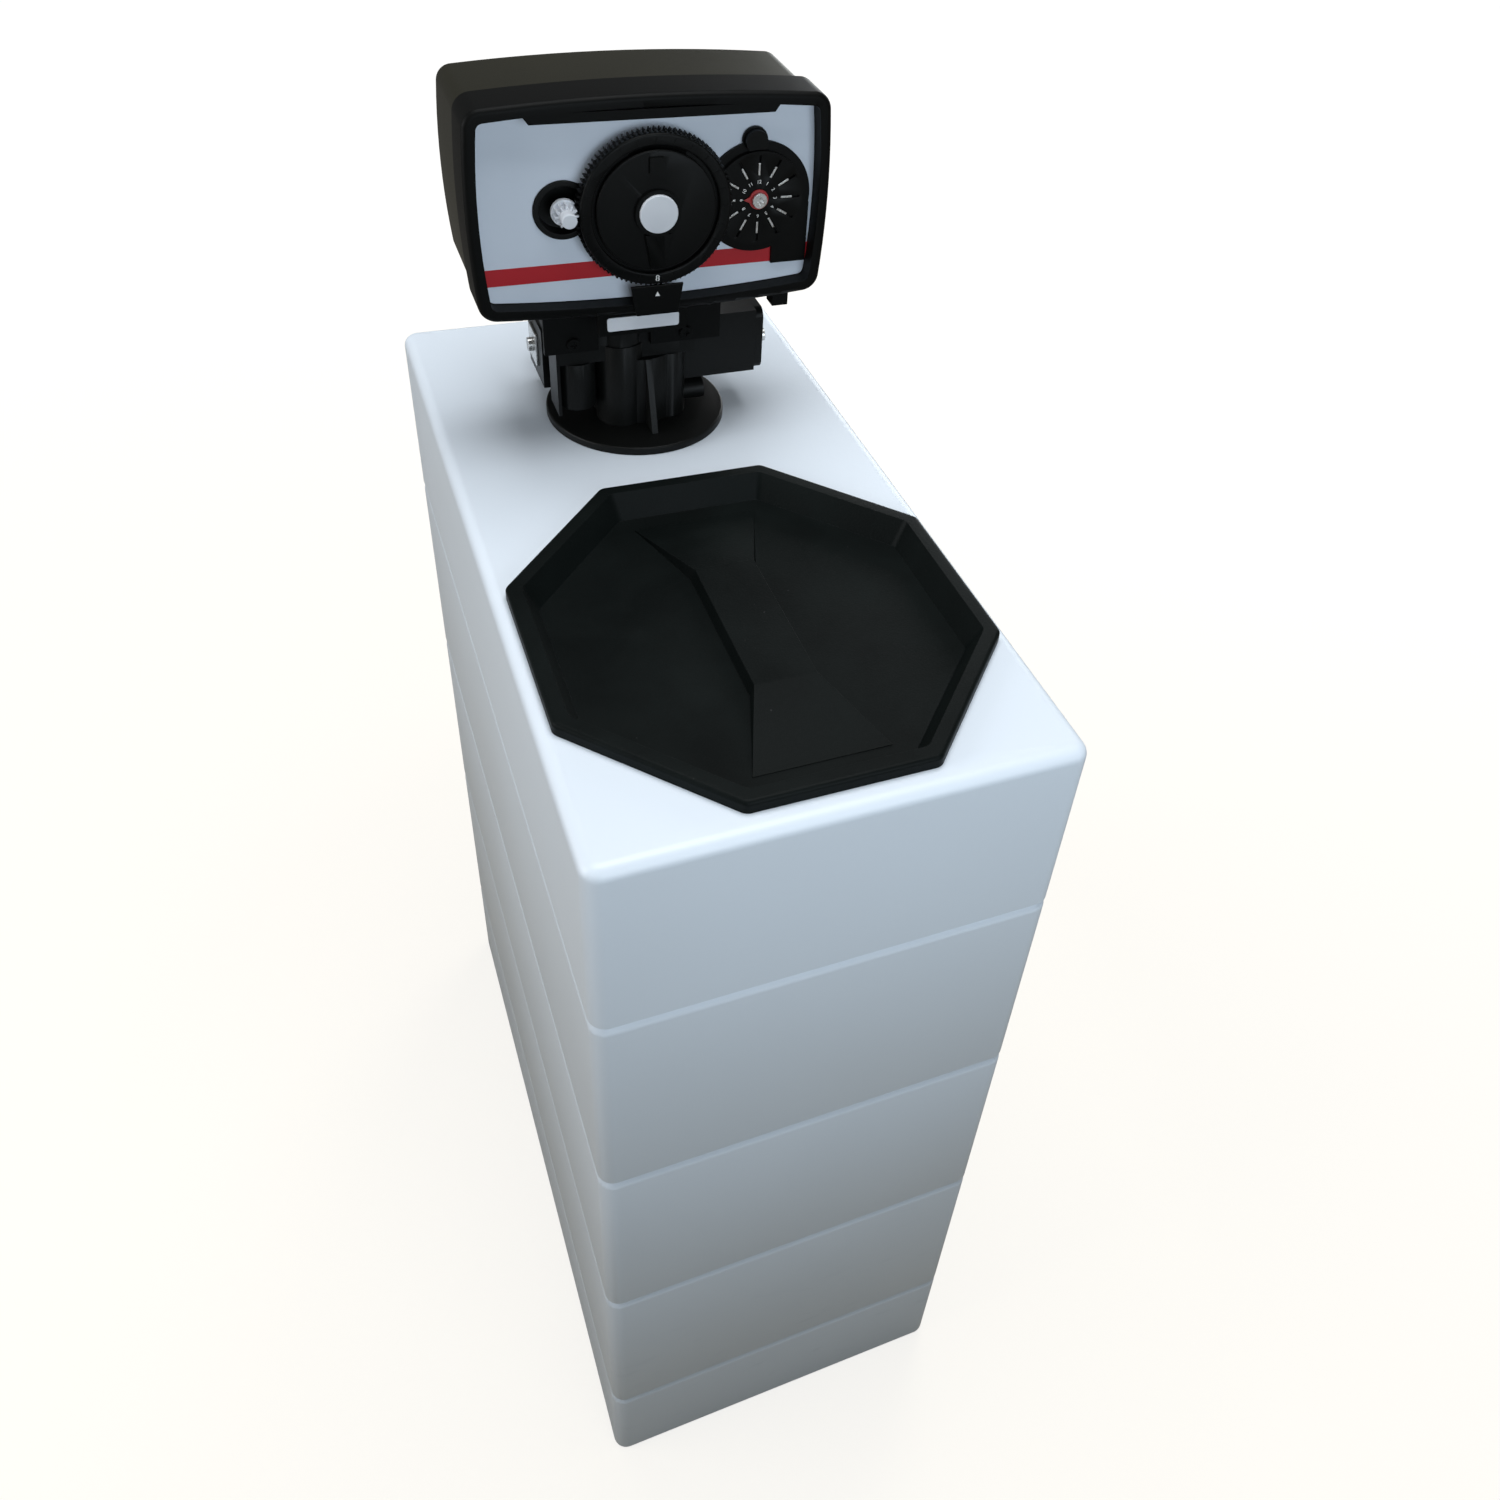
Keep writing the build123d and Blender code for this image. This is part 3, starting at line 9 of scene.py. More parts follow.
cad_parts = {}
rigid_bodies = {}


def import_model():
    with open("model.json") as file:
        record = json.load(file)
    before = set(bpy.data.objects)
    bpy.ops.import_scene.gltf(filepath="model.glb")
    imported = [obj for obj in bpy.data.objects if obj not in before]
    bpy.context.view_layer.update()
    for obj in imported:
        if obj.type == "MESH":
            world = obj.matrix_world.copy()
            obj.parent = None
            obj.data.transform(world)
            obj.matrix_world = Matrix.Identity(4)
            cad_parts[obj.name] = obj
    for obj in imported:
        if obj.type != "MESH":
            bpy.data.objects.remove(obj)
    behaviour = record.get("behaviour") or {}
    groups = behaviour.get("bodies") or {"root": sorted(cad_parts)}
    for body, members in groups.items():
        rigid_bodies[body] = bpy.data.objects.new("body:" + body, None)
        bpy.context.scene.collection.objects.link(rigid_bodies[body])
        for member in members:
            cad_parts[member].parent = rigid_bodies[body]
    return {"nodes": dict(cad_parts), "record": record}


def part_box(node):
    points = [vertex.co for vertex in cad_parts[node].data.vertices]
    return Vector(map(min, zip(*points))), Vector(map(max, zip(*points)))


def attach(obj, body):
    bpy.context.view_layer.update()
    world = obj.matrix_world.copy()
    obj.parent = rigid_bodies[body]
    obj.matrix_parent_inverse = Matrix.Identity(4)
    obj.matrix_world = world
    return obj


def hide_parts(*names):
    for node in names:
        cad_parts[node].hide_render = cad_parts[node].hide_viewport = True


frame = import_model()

bl_info = {
    "name": "Cabinet water softener",
    "version": (1, 0, 0),
    "blender": (4, 5, 0),
    "location": "View3D > Sidebar > Softener",
    "description": "Dresses the water softener's solids with their moulded edges, marks and finishes",
    "category": "Add Mesh",
}

MM = 0.001
TURN = 2 * math.pi
UPRIGHT = Matrix.Rotation(TURN / 4, 4, "X")
BACKWARD = Matrix.Rotation(-TURN / 4, 4, "X")
WELD = 0.0005 * MM
FLAT_ANGLE = math.radians(0.6)
PRINT_RISE = 0.12 * MM
PRINT_ROOT = 0.05 * MM
SMALL_EDGE = 0.5
NOISE_LOW, NOISE_HIGH = 0.3, 0.7
MIX_FACTOR, MIX_FIRST, MIX_SECOND, MIX_RESULT = 0, 6, 7, 2

RECORD = frame["record"]
BODY = {node: body for body, nodes in RECORD["behaviour"]["bodies"].items() for node in nodes}
SLOT = {part["node"]: part["material_slot"] for part in RECORD["subparts"]}
JOINT = {joint["name"]: joint for joint in RECORD["behaviour"]["joints"]}
CABINET_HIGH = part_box("cabinet_top")[1]
LABEL_LOW, LABEL_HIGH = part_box("label_plate")
DIAL_AXIS = Vector(JOINT["day_dial_turn"]["pos_m"])
SKIPPER_AXIS = Vector(JOINT["skipper_turn"]["pos_m"])


class CabinetSettings(bpy.types.PropertyGroup):
    """Colour, grooves and skin of the cabinet"""

    colour: FloatVectorProperty(
        name="Cabinet colour", description="Moulded plastic of the cabinet", subtype="COLOR", size=3,
        default=(0.74, 0.80, 0.87), min=0, max=1,
    )
    lip: FloatProperty(
        name="Groove lip", description="Radius that rolls over each edge of the ring grooves",
        unit="LENGTH", default=1.1 * MM, min=0.1 * MM, max=3 * MM,
    )
    grain: FloatProperty(
        name="Skin depth", description="Depth of the cabinet's orange-peel skin", unit="LENGTH",
        default=0.05 * MM, min=0, max=1 * MM,
    )


class BlackSettings(bpy.types.PropertyGroup):
    """Colours and edges of the black mouldings"""

    lid: FloatVectorProperty(
        name="Lid colour", description="Grained black of the salt lid", subtype="COLOR", size=3,
        default=(0.0028, 0.0040, 0.0038), min=0, max=1,
    )
    casing: FloatVectorProperty(
        name="Casing colour", description="Black of the head's casing", subtype="COLOR", size=3,
        default=(0.0030, 0.0032, 0.0030), min=0, max=1,
    )
    # Painted sheen: the olive tint and lift of this black stand in for a warm reflection on the cover, so
    # this colour is painted light.
    cover: FloatVectorProperty(
        name="Cover colour", description="Olive black of the head's rear cover", subtype="COLOR", size=3,
        default=(0.0125, 0.0116, 0.0058), min=0, max=1,
    )
    edge: FloatProperty(
        name="Moulded edge", description="Radius of the black mouldings' edges", unit="LENGTH",
        default=0.5 * MM, min=0.05 * MM, max=2 * MM,
    )


class FaceSettings(bpy.types.PropertyGroup):
    """Face plate, stripe and hour marks of the head"""

    label: FloatVectorProperty(
        name="Face plate colour", description="Pale printed plate behind the dials", subtype="COLOR", size=3,
        default=(0.66, 0.72, 0.81), min=0, max=1,
    )
    stripe: FloatVectorProperty(
        name="Stripe colour", description="Red stripe across the face plate", subtype="COLOR", size=3,
        default=(0.45, 0.011, 0.019), min=0, max=1,
    )
    stripe_low: FloatProperty(
        name="Stripe foot", description="Height of the stripe's lower edge over the cabinet's top",
        unit="LENGTH", default=93.5 * MM, min=80 * MM, max=160 * MM,
    )
    stripe_width: FloatProperty(
        name="Stripe width", description="Height of the printed stripe", unit="LENGTH",
        default=8 * MM, min=1 * MM, max=30 * MM,
    )
    hours: IntProperty(
        name="Hour marks", description="Raised marks round the day dial", default=24, min=4, max=96,
    )
    mark: FloatProperty(
        name="Mark length", description="Length of an hour mark", unit="LENGTH",
        default=2.6 * MM, min=0.5 * MM, max=5 * MM,
    )


class StageSettings(bpy.types.PropertyGroup):
    """Floor colour and the powers of the lights"""

    floor: FloatVectorProperty(
        name="Floor colour", description="Floor as the object sees it", subtype="COLOR", size=3,
        default=(0.31, 0.27, 0.20), min=0, max=1,
    )
    key: FloatProperty(
        name="Key light", description="Power of the softbox overhead", subtype="POWER",
        default=18.0, min=0, max=500,
    )
    side: FloatProperty(
        name="Side light", description="Power of the softbox on the left", subtype="POWER",
        default=9.5, min=0, max=500,
    )
    fill: FloatProperty(
        name="Front light", description="Power of the softbox in front", subtype="POWER",
        default=6.0, min=0, max=500,
    )
    back: FloatProperty(
        name="Back light", description="Power of the softbox behind on the right", subtype="POWER",
        default=7.0, min=0, max=500,
    )
    ambient: FloatProperty(
        name="Room light", description="Strength of the even light all round", default=0.05, min=0, max=2,
    )


class Wire:
    """One output in a node tree; sums on wires add Math nodes."""

    def __init__(self, nodes, socket):
        self.nodes = nodes
        self.socket = socket

    def _math(self, operation, first, second):
        return self.nodes.add("ShaderNodeMath", {"operation": operation}, {0: first, 1: second})

    def __add__(self, other):
        return self._math("ADD", self, other)

    def __radd__(self, other):
        return self._math("ADD", other, self)

    def __sub__(self, other):
        return self._math("SUBTRACT", self, other)

    def __rsub__(self, other):
        return self._math("SUBTRACT", other, self)

    def __mul__(self, other):
        return self._math("MULTIPLY", self, other)

    def __rmul__(self, other):
        return self._math("MULTIPLY", other, self)


class Nodes:
    """A node tree, and the one method that adds to it."""

    def __init__(self, tree):
        self.tree = tree
        self.tree.nodes.clear()

    def add(self, kind, settings=None, inputs=None, output=0):
        """Adds a node with its settings and the values or links of its sockets, and gives one output."""
        node = self.tree.nodes.new(kind)
        for name, value in (settings or {}).items():
            setattr(node, name, value)
        for key, value in (inputs or {}).items():
            if isinstance(value, Wire):
                self.tree.links.new(value.socket, node.inputs[key])
            else:
                node.inputs[key].default_value = value
        return Wire(self, node.outputs[output]) if node.outputs else None


class Finish(Nodes):
    """A material under construction: a Principled shader and what feeds it."""

    def __init__(self, name, **constants):
        self.material = bpy.data.materials.new(name)
        self.material.use_nodes = True
        super().__init__(self.material.node_tree)
        fixed = {socket.replace("_", " "): value for socket, value in constants.items()}
        surface = self.add("ShaderNodeBsdfPrincipled", None, fixed)
        self.add("ShaderNodeOutputMaterial", None, {"Surface": surface})
        self.shader = surface.socket.node
        self.place = self.add("ShaderNodeTexCoord", output="Object")

    def feed(self, socket, wire):
        self.tree.links.new(wire.socket, self.shader.inputs[socket])

    def noise(self, size, detail=2.0, stretch=None, distortion=0.0):
        """Noise whose blobs are about this many metres across, from 0 to 1."""
        spot = self.place
        if stretch:
            spot = self.add("ShaderNodeMapping", None, {"Vector": self.place, "Scale": stretch})
        return self.add(
            "ShaderNodeTexNoise", None,
            {"Vector": spot, "Scale": 1 / size, "Detail": detail, "Distortion": distortion},
        )

    def mix(self, amount, first, second):
        """Colour between two others, each a tuple or a wire."""
        first, second = (end if isinstance(end, Wire) else (*end, 1.0) for end in (first, second))
        return self.add(
            "ShaderNodeMix", {"data_type": "RGBA"},
            {MIX_FACTOR: amount, MIX_FIRST: first, MIX_SECOND: second}, output=MIX_RESULT,
        )

    def between(self, value, low, high, to_low=0.0, to_high=1.0):
        """The value's stretch from low to high laid onto another, clamped."""
        return self.add(
            "ShaderNodeMapRange", {"clamp": True},
            {"Value": value, "From Min": low, "From Max": high, "To Min": to_low, "To Max": to_high},
        )

    def spread(self, noise, to_low=0.0, to_high=1.0):
        """The stretch that noise mostly fills laid onto another."""
        return self.between(noise, NOISE_LOW, NOISE_HIGH, to_low, to_high)

    def clouded(self, noise, colour, darker, lighter):
        """A colour that noise varies between two shares of itself."""
        return self.mix(self.spread(noise), scaled(colour, darker), scaled(colour, lighter))

    def bump(self, height, depth):
        """Normal pushed by a height from 0 to 1, depth metres at most."""
        return self.add("ShaderNodeBump", None, {"Height": height, "Distance": depth, "Strength": 1.0})


def scaled(colour, factor):
    """A share of a colour, with each channel kept to 1 at most."""
    return tuple(min(1.0, channel * factor) for channel in colour)


def moulded(name, colour, roughness, grain, depth=0.02 * MM, cloud=0.05, specular=0.5):
    """Moulded plastic: a slight clouding of the colour and a fine skin."""
    finish = Finish(name, Specular_IOR_Level=specular)
    broad = finish.noise(60 * MM, detail=3.0)
    fine = finish.noise(grain, detail=3.0)
    finish.feed("Base Color", finish.clouded(broad, colour, 1 - cloud, 1 + cloud))
    finish.feed("Roughness", finish.spread(broad * 0.6 + fine * 0.4, roughness - 0.05, roughness + 0.05))
    finish.feed("Normal", finish.bump(fine, depth))
    return finish.material


def cabinet_plastic(settings):
    """Satin bluish white plastic with an orange-peel skin and faint scuffs low down."""
    finish = Finish("cabinet_plastic", Specular_IOR_Level=0.45)
    colour = tuple(settings.colour)
    scuffed_height, scuff_size, scuff_shade, scuff_weight = 0.25, 26 * MM, 0.8, 0.22
    broad = finish.noise(140 * MM)
    peel = finish.noise(3.2 * MM)
    fine = finish.noise(0.5 * MM)
    height = finish.add("ShaderNodeSeparateXYZ", None, {0: finish.place}, output="Z")
    low = finish.between(height, 0.0, scuffed_height, 1.0, 0.0)
    patches = finish.noise(scuff_size, detail=5.0, stretch=(1, 1, 3), distortion=0.6)
    scuff = finish.between(patches, 0.60, 0.72) * low
    tone = finish.clouded(broad, colour, 0.985, 1.015)
    finish.feed("Base Color", finish.mix(scuff * scuff_weight, tone, scaled(colour, scuff_shade)))
    finish.feed("Roughness", finish.spread(broad * 0.5 + fine * 0.5, 0.34, 0.44) + scuff * 0.15)
    finish.feed("Normal", finish.bump(peel * 0.8 + fine * 0.2, settings.grain))
    return finish.material


def lid_plastic(settings):
    """Black plastic with a cell-like grain and a little dust in scattered specks."""
    finish = Finish("lid_plastic", Specular_IOR_Level=0.06)
    colour = tuple(settings.lid)
    cell, dust = 0.9 * MM, (0.04, 0.04, 0.04)
    cells = finish.add(
        "ShaderNodeTexVoronoi", {"feature": "SMOOTH_F1"}, {"Vector": finish.place, "Scale": 1 / cell},
    )
    fine = finish.noise(0.35 * MM)
    broad = finish.noise(45 * MM, detail=4.0, distortion=0.4)
    specks = finish.between(finish.noise(2.6 * MM, detail=1.0), 0.80, 0.84)
    tone = finish.mix(finish.between(broad, 0.35, 0.7), colour, scaled(colour, 1.7))
    finish.feed("Base Color", finish.mix(specks * 0.5, tone, dust))
    finish.feed("Roughness", finish.spread(broad, 0.40, 0.52))
    finish.feed("Normal", finish.bump(cells * 0.7 + fine * 0.3, 0.07 * MM))
    return finish.material


def label_print(settings):
    """Smooth printed plate, a little glossier than paper."""
    finish = Finish("label_print", Specular_IOR_Level=0.4)
    broad = finish.noise(70 * MM)
    fibre = finish.noise(0.4 * MM)
    finish.feed("Base Color", finish.clouded(broad, tuple(settings.label), 0.97, 1.02))
    finish.feed("Roughness", finish.spread(broad, 0.30, 0.38))
    finish.feed("Normal", finish.bump(fibre, 0.004 * MM))
    return finish.material


def bright_metal(name, colour=(0.62, 0.62, 0.61), roughness=0.28):
    """Plain bright metal with fine scratches."""
    finish = Finish(name, Metallic=1.0)
    scratch = finish.noise(0.25 * MM, detail=3.0, stretch=(1, 1, 0.05))
    broad = finish.noise(9 * MM)
    finish.feed("Base Color", finish.clouded(broad, colour, 0.86, 1.05))
    finish.feed("Roughness", finish.spread(scratch, roughness - 0.08, roughness + 0.12))
    finish.feed("Normal", finish.bump(scratch, 0.004 * MM))
    return finish.material


def bead_bed():
    """Packed amber beads."""
    finish = Finish("resin_beads", Specular_IOR_Level=0.6)
    bead, dark_amber, pale_amber = 0.9 * MM, (0.30, 0.11, 0.02), (0.62, 0.33, 0.09)
    beads, tint = (
        finish.add(
            "ShaderNodeTexVoronoi", {"feature": "F1"}, {"Vector": finish.place, "Scale": 1 / bead},
            output=output,
        )
        for output in ("Distance", "Color")
    )
    pick = finish.add("ShaderNodeSeparateColor", None, {0: tint})
    finish.feed("Base Color", finish.mix(pick, dark_amber, pale_amber))
    finish.feed("Roughness", finish.between(beads, 0.0, 0.8, 0.2, 0.6))
    finish.feed("Normal", finish.bump(1 - beads, 0.4 * MM))
    return finish.material


def wound_tank():
    """Blue-green vessel with the crossed pattern of its glass winding."""
    finish = Finish("wound_tank", Specular_IOR_Level=0.5)
    slant, winding, dark_green, pale_green = math.radians(35), 18.0, (0.04, 0.13, 0.19), (0.07, 0.21, 0.28)
    bands = []
    for turn in (slant, -slant):
        spot = finish.add("ShaderNodeMapping", None, {"Vector": finish.place, "Rotation": (turn, turn, 0.0)})
        bands.append(finish.add(
            "ShaderNodeTexWave", {"bands_direction": "Z"},
            {"Vector": spot, "Scale": winding, "Distortion": 1.2, "Detail": 2.0}, output="Fac",
        ))
    weave = (bands[0] + bands[1]) * 0.5
    finish.feed("Base Color", finish.mix(weave, dark_green, pale_green))
    finish.feed("Roughness", finish.between(weave, 0.0, 1.0, 0.25, 0.4))
    finish.feed("Normal", finish.bump(weave, 0.2 * MM))
    return finish.material


def add_object(name, data):
    """A new object in the scene that shows this data."""
    thing = bpy.data.objects.new(name, data)
    bpy.context.scene.collection.objects.link(thing)
    return thing


def plain_mesh(holder):
    """Turns an object with its modifiers into a plain mesh, and removes the object."""
    bpy.context.view_layer.update()
    mesh = bpy.data.meshes.new_from_object(holder.evaluated_get(bpy.context.evaluated_depsgraph_get()))
    bpy.data.objects.remove(holder)
    return mesh


def new_piece(name, mesh, node=None, body=None, slot=None, material=None):
    """Puts a mesh in the scene as a piece of the softener."""
    piece = add_object(name, mesh)
    if material is not None:
        mesh.materials.clear()
        mesh.materials.append(material)
    if node:
        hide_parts(node)
        body, slot = body or BODY[node], slot or SLOT[node]
    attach(piece, body)


def shade(mesh, angle=35.0):
    """Smooth faces with crisp edges past an angle in degrees."""
    mesh.polygons.foreach_set("use_smooth", [True] * len(mesh.polygons))
    mesh.set_sharp_from_angle(angle=math.radians(angle))


def rolled(mesh, radius, segments=2, angle=32.0):
    """The mesh with its edges past an angle in degrees rolled over."""
    shade(mesh, angle)
    holder = add_object("holder", mesh)
    bevel = holder.modifiers.new("BEVEL", "BEVEL")
    bevel.width = radius
    bevel.segments = segments
    bevel.limit_method = "ANGLE"
    bevel.angle_limit = math.radians(angle)
    bevel.harden_normals = True
    bevel.use_clamp_overlap = True
    bevel.miter_outer = "MITER_ARC"
    return plain_mesh(holder)


def merged_copy(node):
    """A copy of a node's mesh with its loose triangles joined and its flats cleared."""
    shape = bmesh.new()
    shape.from_mesh(frame["nodes"][node].data)
    bmesh.ops.remove_doubles(shape, verts=shape.verts, dist=WELD)
    bmesh.ops.dissolve_limit(
        shape, angle_limit=FLAT_ANGLE, verts=shape.verts, edges=shape.edges, use_dissolve_boundaries=False,
    )
    return mesh_of(shape, node + "_mesh")


def mesh_of(shape, name):
    """Closes a shape under construction and gives its mesh."""
    mesh = bpy.data.meshes.new(name)
    shape.to_mesh(mesh)
    shape.free()
    return mesh


def softened(node, radius, material=None, segments=2, angle=32.0):
    """Stands for a node with the same shape and rolled edges."""
    mesh = rolled(merged_copy(node), radius, segments, angle)
    new_piece(node + "_moulding", mesh, node=node, material=material or finish_node(node))


def dress(*nodes):
    """Gives solids that stay as they are the finish of their slot."""
    for node in nodes:
        solid, material = frame["nodes"][node], finish_node(node)
        if not solid.data.materials:
            solid.data.materials.append(material)
        for place in solid.material_slots:
            place.link = "OBJECT"
            place.material = material


def printed(name, corners, surface):
    """A thin upright mark on a face that looks to the front, its corners given in x and z."""
    front, back = surface - PRINT_RISE, surface + PRINT_ROOT
    shape = bmesh.new()
    near = [shape.verts.new((x, front, z)) for x, z in corners]
    far = [shape.verts.new((x, back, z)) for x, z in corners]
    shape.faces.new(near)
    shape.faces.new(far[::-1])
    for index in range(len(corners)):
        after = (index + 1) % len(corners)
        shape.faces.new((near[after], near[index], far[index], far[after]))
    bmesh.ops.recalc_face_normals(shape, faces=shape.faces)
    return mesh_of(shape, name)


def text_mesh(words, height, depth, place, turn=0.0):
    """Numerals standing on an upright face that looks to the front, turned clockwise by an angle."""
    curve = bpy.data.curves.new("numeral", "FONT")
    curve.body = words
    curve.size = height
    curve.extrude = depth / 2
    curve.align_x = "CENTER"
    curve.align_y = "CENTER"
    curve.resolution_u = 3
    mesh = plain_mesh(add_object("numeral", curve))
    mesh.transform(Matrix.Translation(place) @ Matrix.Rotation(turn, 4, "Y") @ UPRIGHT)
    return mesh


def joined(meshes, name):
    """One mesh from several."""
    shape = bmesh.new()
    for mesh in meshes:
        shape.from_mesh(mesh)
    return mesh_of(shape, name)


class Tree(Nodes):
    """A geometry tree with named inputs, ended by Realize Instances and Set Material."""

    def __init__(self, name, inputs):
        super().__init__(bpy.data.node_groups.new(name, "GeometryNodeTree"))
        face = self.tree.interface
        face.new_socket("Geometry", in_out="INPUT", socket_type="NodeSocketGeometry")
        self.ids = {}
        for label, (kind, value) in inputs.items():
            socket = face.new_socket(label, in_out="INPUT", socket_type=kind)
            socket.default_value = value
            self.ids[label] = socket.identifier
        socket = face.new_socket("Material", in_out="INPUT", socket_type="NodeSocketMaterial")
        self.ids["Material"] = socket.identifier
        face.new_socket("Geometry", in_out="OUTPUT", socket_type="NodeSocketGeometry")
        outputs = self.tree.nodes.new("NodeGroupInput").outputs
        self.inputs = {label: Wire(self, outputs[label]) for label in self.ids}

    def close(self, geometry):
        real = self.add("GeometryNodeRealizeInstances", None, {0: geometry})
        done = self.add(
            "GeometryNodeSetMaterial", None, {"Geometry": real, "Material": self.inputs["Material"]},
        )
        self.add("NodeGroupOutput", None, {0: done})

    def mesh(self, material, **values):
        """Runs the tree on an empty mesh and returns the result as a plain mesh."""
        holder = add_object("tree_holder", bpy.data.meshes.new("tree_base"))
        modifier = holder.modifiers.new("Tree", "NODES")
        modifier.node_group = self.tree
        for label, value in values.items():
            modifier[self.ids[label.replace("_", " ")]] = value
        modifier[self.ids["Material"]] = material
        return plain_mesh(holder)


def ring_tree():
    """Bars set on edge round a circle in the XY plane, such as dial marks."""
    tree = Tree("ring_of_marks", {
        "Count": ("NodeSocketInt", 24),
        "Ring radius": ("NodeSocketFloat", 0.03),
        "Length": ("NodeSocketFloat", 0.002),
        "Width": ("NodeSocketFloat", 0.0004),
        "Height": ("NodeSocketFloat", 0.0003),
    })
    sizes = tree.inputs
    ring = tree.add(
        "GeometryNodeMeshCircle", None, {"Vertices": sizes["Count"], "Radius": sizes["Ring radius"]},
    )
    size = tree.add("ShaderNodeCombineXYZ", None, {0: sizes["Length"], 1: sizes["Width"], 2: sizes["Height"]})
    bar = tree.add("GeometryNodeMeshCube", None, {"Size": size})
    place = tree.add("GeometryNodeInputPosition")
    aim = tree.add("FunctionNodeAlignRotationToVector", {"axis": "X"}, {"Vector": place})
    tree.close(tree.add(
        "GeometryNodeInstanceOnPoints", None, {"Points": ring, "Instance": bar, "Rotation": aim},
    ))
    return tree


def thread_tree():
    """A V thread round the Z axis: a helix swept by a four-sided section."""
    tree = Tree("screw_thread", {
        "Turns": ("NodeSocketFloat", 8.0),
        "Radius": ("NodeSocketFloat", 0.0127),
        "Length": ("NodeSocketFloat", 0.018),
        "Ridge": ("NodeSocketFloat", 0.0009),
    })
    sizes = tree.inputs
    helix = tree.add("GeometryNodeCurveSpiral", None, {
        "Resolution": 40, "Rotations": sizes["Turns"], "Start Radius": sizes["Radius"],
        "End Radius": sizes["Radius"], "Height": sizes["Length"],
    })
    section = tree.add("GeometryNodeCurvePrimitiveCircle", None, {"Resolution": 4, "Radius": sizes["Ridge"]})
    tree.close(tree.add(
        "GeometryNodeCurveToMesh", None, {"Curve": helix, "Profile Curve": section, "Fill Caps": True},
    ))
    return tree


FINISHES = {}


def finish_of(name):
    """The shared finishes, each made once."""
    if not FINISHES:
        black = bpy.context.scene.softener_black
        face = bpy.context.scene.softener_face
        casing = tuple(black.casing)
        FINISHES.update({
            "cabinet": cabinet_plastic(bpy.context.scene.softener_cabinet),
            "lid": lid_plastic(black),
            "head": moulded(
                "casing_plastic", casing, roughness=0.48, grain=0.5 * MM, cloud=0.10, specular=0.07,
            ),
            # Painted sheen: the cover's olive colour stands in for a warm reflection on black plastic.
            "cover": moulded(
                "cover_plastic", tuple(black.cover), roughness=0.46, grain=0.7 * MM, depth=0.03 * MM,
                cloud=0.12, specular=0.22,
            ),
            "valve": moulded(
                "valve_plastic", scaled(casing, 1.5), roughness=0.38, grain=0.35 * MM, cloud=0.15,
                specular=0.13,
            ),
            "gear": moulded(
                "dial_plastic", scaled(casing, 0.9), roughness=0.36, grain=0.3 * MM, depth=0.006 * MM,
                cloud=0.08, specular=0.1,
            ),
            "label": label_print(face),
            "stripe": moulded(
                "stripe_print", tuple(face.stripe), roughness=0.4, grain=0.4 * MM, depth=0.003 * MM,
                cloud=0.03, specular=0.4,
            ),
            "pale_knob": moulded(
                "white_acetal", (0.66, 0.68, 0.72), roughness=0.34, grain=0.5 * MM, depth=0.004 * MM,
                cloud=0.02,
            ),
            "red": moulded(
                "red_acetal", (0.33, 0.02, 0.022), roughness=0.35, grain=0.4 * MM, depth=0.004 * MM,
            ),
            "white_mark": moulded(
                "mark_paint", (0.78, 0.78, 0.76), roughness=0.5, grain=0.3 * MM, depth=0.004 * MM,
                specular=0.4,
            ),
            "steel": bright_metal("bright_steel"),
            "brass": bright_metal("turned_brass", (0.62, 0.42, 0.14), roughness=0.25),
            "rubber": moulded(
                "soft_rubber", (0.014, 0.014, 0.014), roughness=0.7, grain=0.4 * MM, cloud=0.1, specular=0.35,
            ),
            "tank": wound_tank(),
            "tank_base": moulded(
                "foot_plastic", (0.02, 0.02, 0.02), roughness=0.5, grain=0.8 * MM, depth=0.03 * MM,
            ),
            "resin": bead_bed(),
            "inner_plastic": moulded(
                "inner_plastic", (0.66, 0.68, 0.70), roughness=0.42, grain=0.8 * MM, cloud=0.03,
            ),
        })
    return FINISHES[name]


def finish_node(node):
    """The finish of the slot that a node has in the record."""
    return finish_of(SLOT[node])


class SOFTENER_OT_cabinet(bpy.types.Operator):
    """Cabinet tub and top with rolled groove lips"""

    bl_idname = "softener.cabinet"
    bl_label = "Cabinet"

    def execute(self, context):
        for node in ("cabinet_tub", "cabinet_top"):
            softened(node, context.scene.softener_cabinet.lip, segments=3, angle=25.0)
        return {"FINISHED"}


class SOFTENER_OT_salt_lid(bpy.types.Operator):
    """Grained black lid over the salt compartment"""

    bl_idname = "softener.salt_lid"
    bl_label = "Salt lid"

    def execute(self, context):
        softened("salt_lid", 0.9 * MM, segments=3, angle=12.0)
        return {"FINISHED"}


class SOFTENER_OT_brine_parts(bpy.types.Operator):
    """Grid, well and float in the salt compartment"""

    bl_idname = "softener.brine_parts"
    bl_label = "Brine parts"

    def execute(self, context):
        for node in ("salt_grid", "brine_well", "well_cap", "safety_float"):
            softened(node, 0.5 * MM)
        dress("brine_pickup")
        return {"FINISHED"}


class SOFTENER_OT_resin_tank(bpy.types.Operator):
    """Pressure vessel, its foot, its resin and its riser"""

    bl_idname = "softener.resin_tank"
    bl_label = "Resin tank"

    def execute(self, context):
        dress("mineral_tank", "tank_foot", "resin_bed", "riser_tube", "bottom_strainer")
        return {"FINISHED"}


class SOFTENER_OT_valve(bpy.types.Operator):
    """Control valve body and the small parts on it"""

    bl_idname = "softener.valve"
    bl_label = "Valve"

    body_edge = 1.4

    def execute(self, context):
        edge = context.scene.softener_black.edge
        softened("valve_body", edge * self.body_edge)
        for node in ("injector_cap", "end_plug", "drain_fitting"):
            softened(node, edge)
        for node in ("port_clips", "plug_retainer", "valve_screws", "piston_rod", "piston", "brine_stem"):
            softened(node, edge * SMALL_EDGE)
        dress("piston_seals", "seal_spacers")
        return {"FINISHED"}


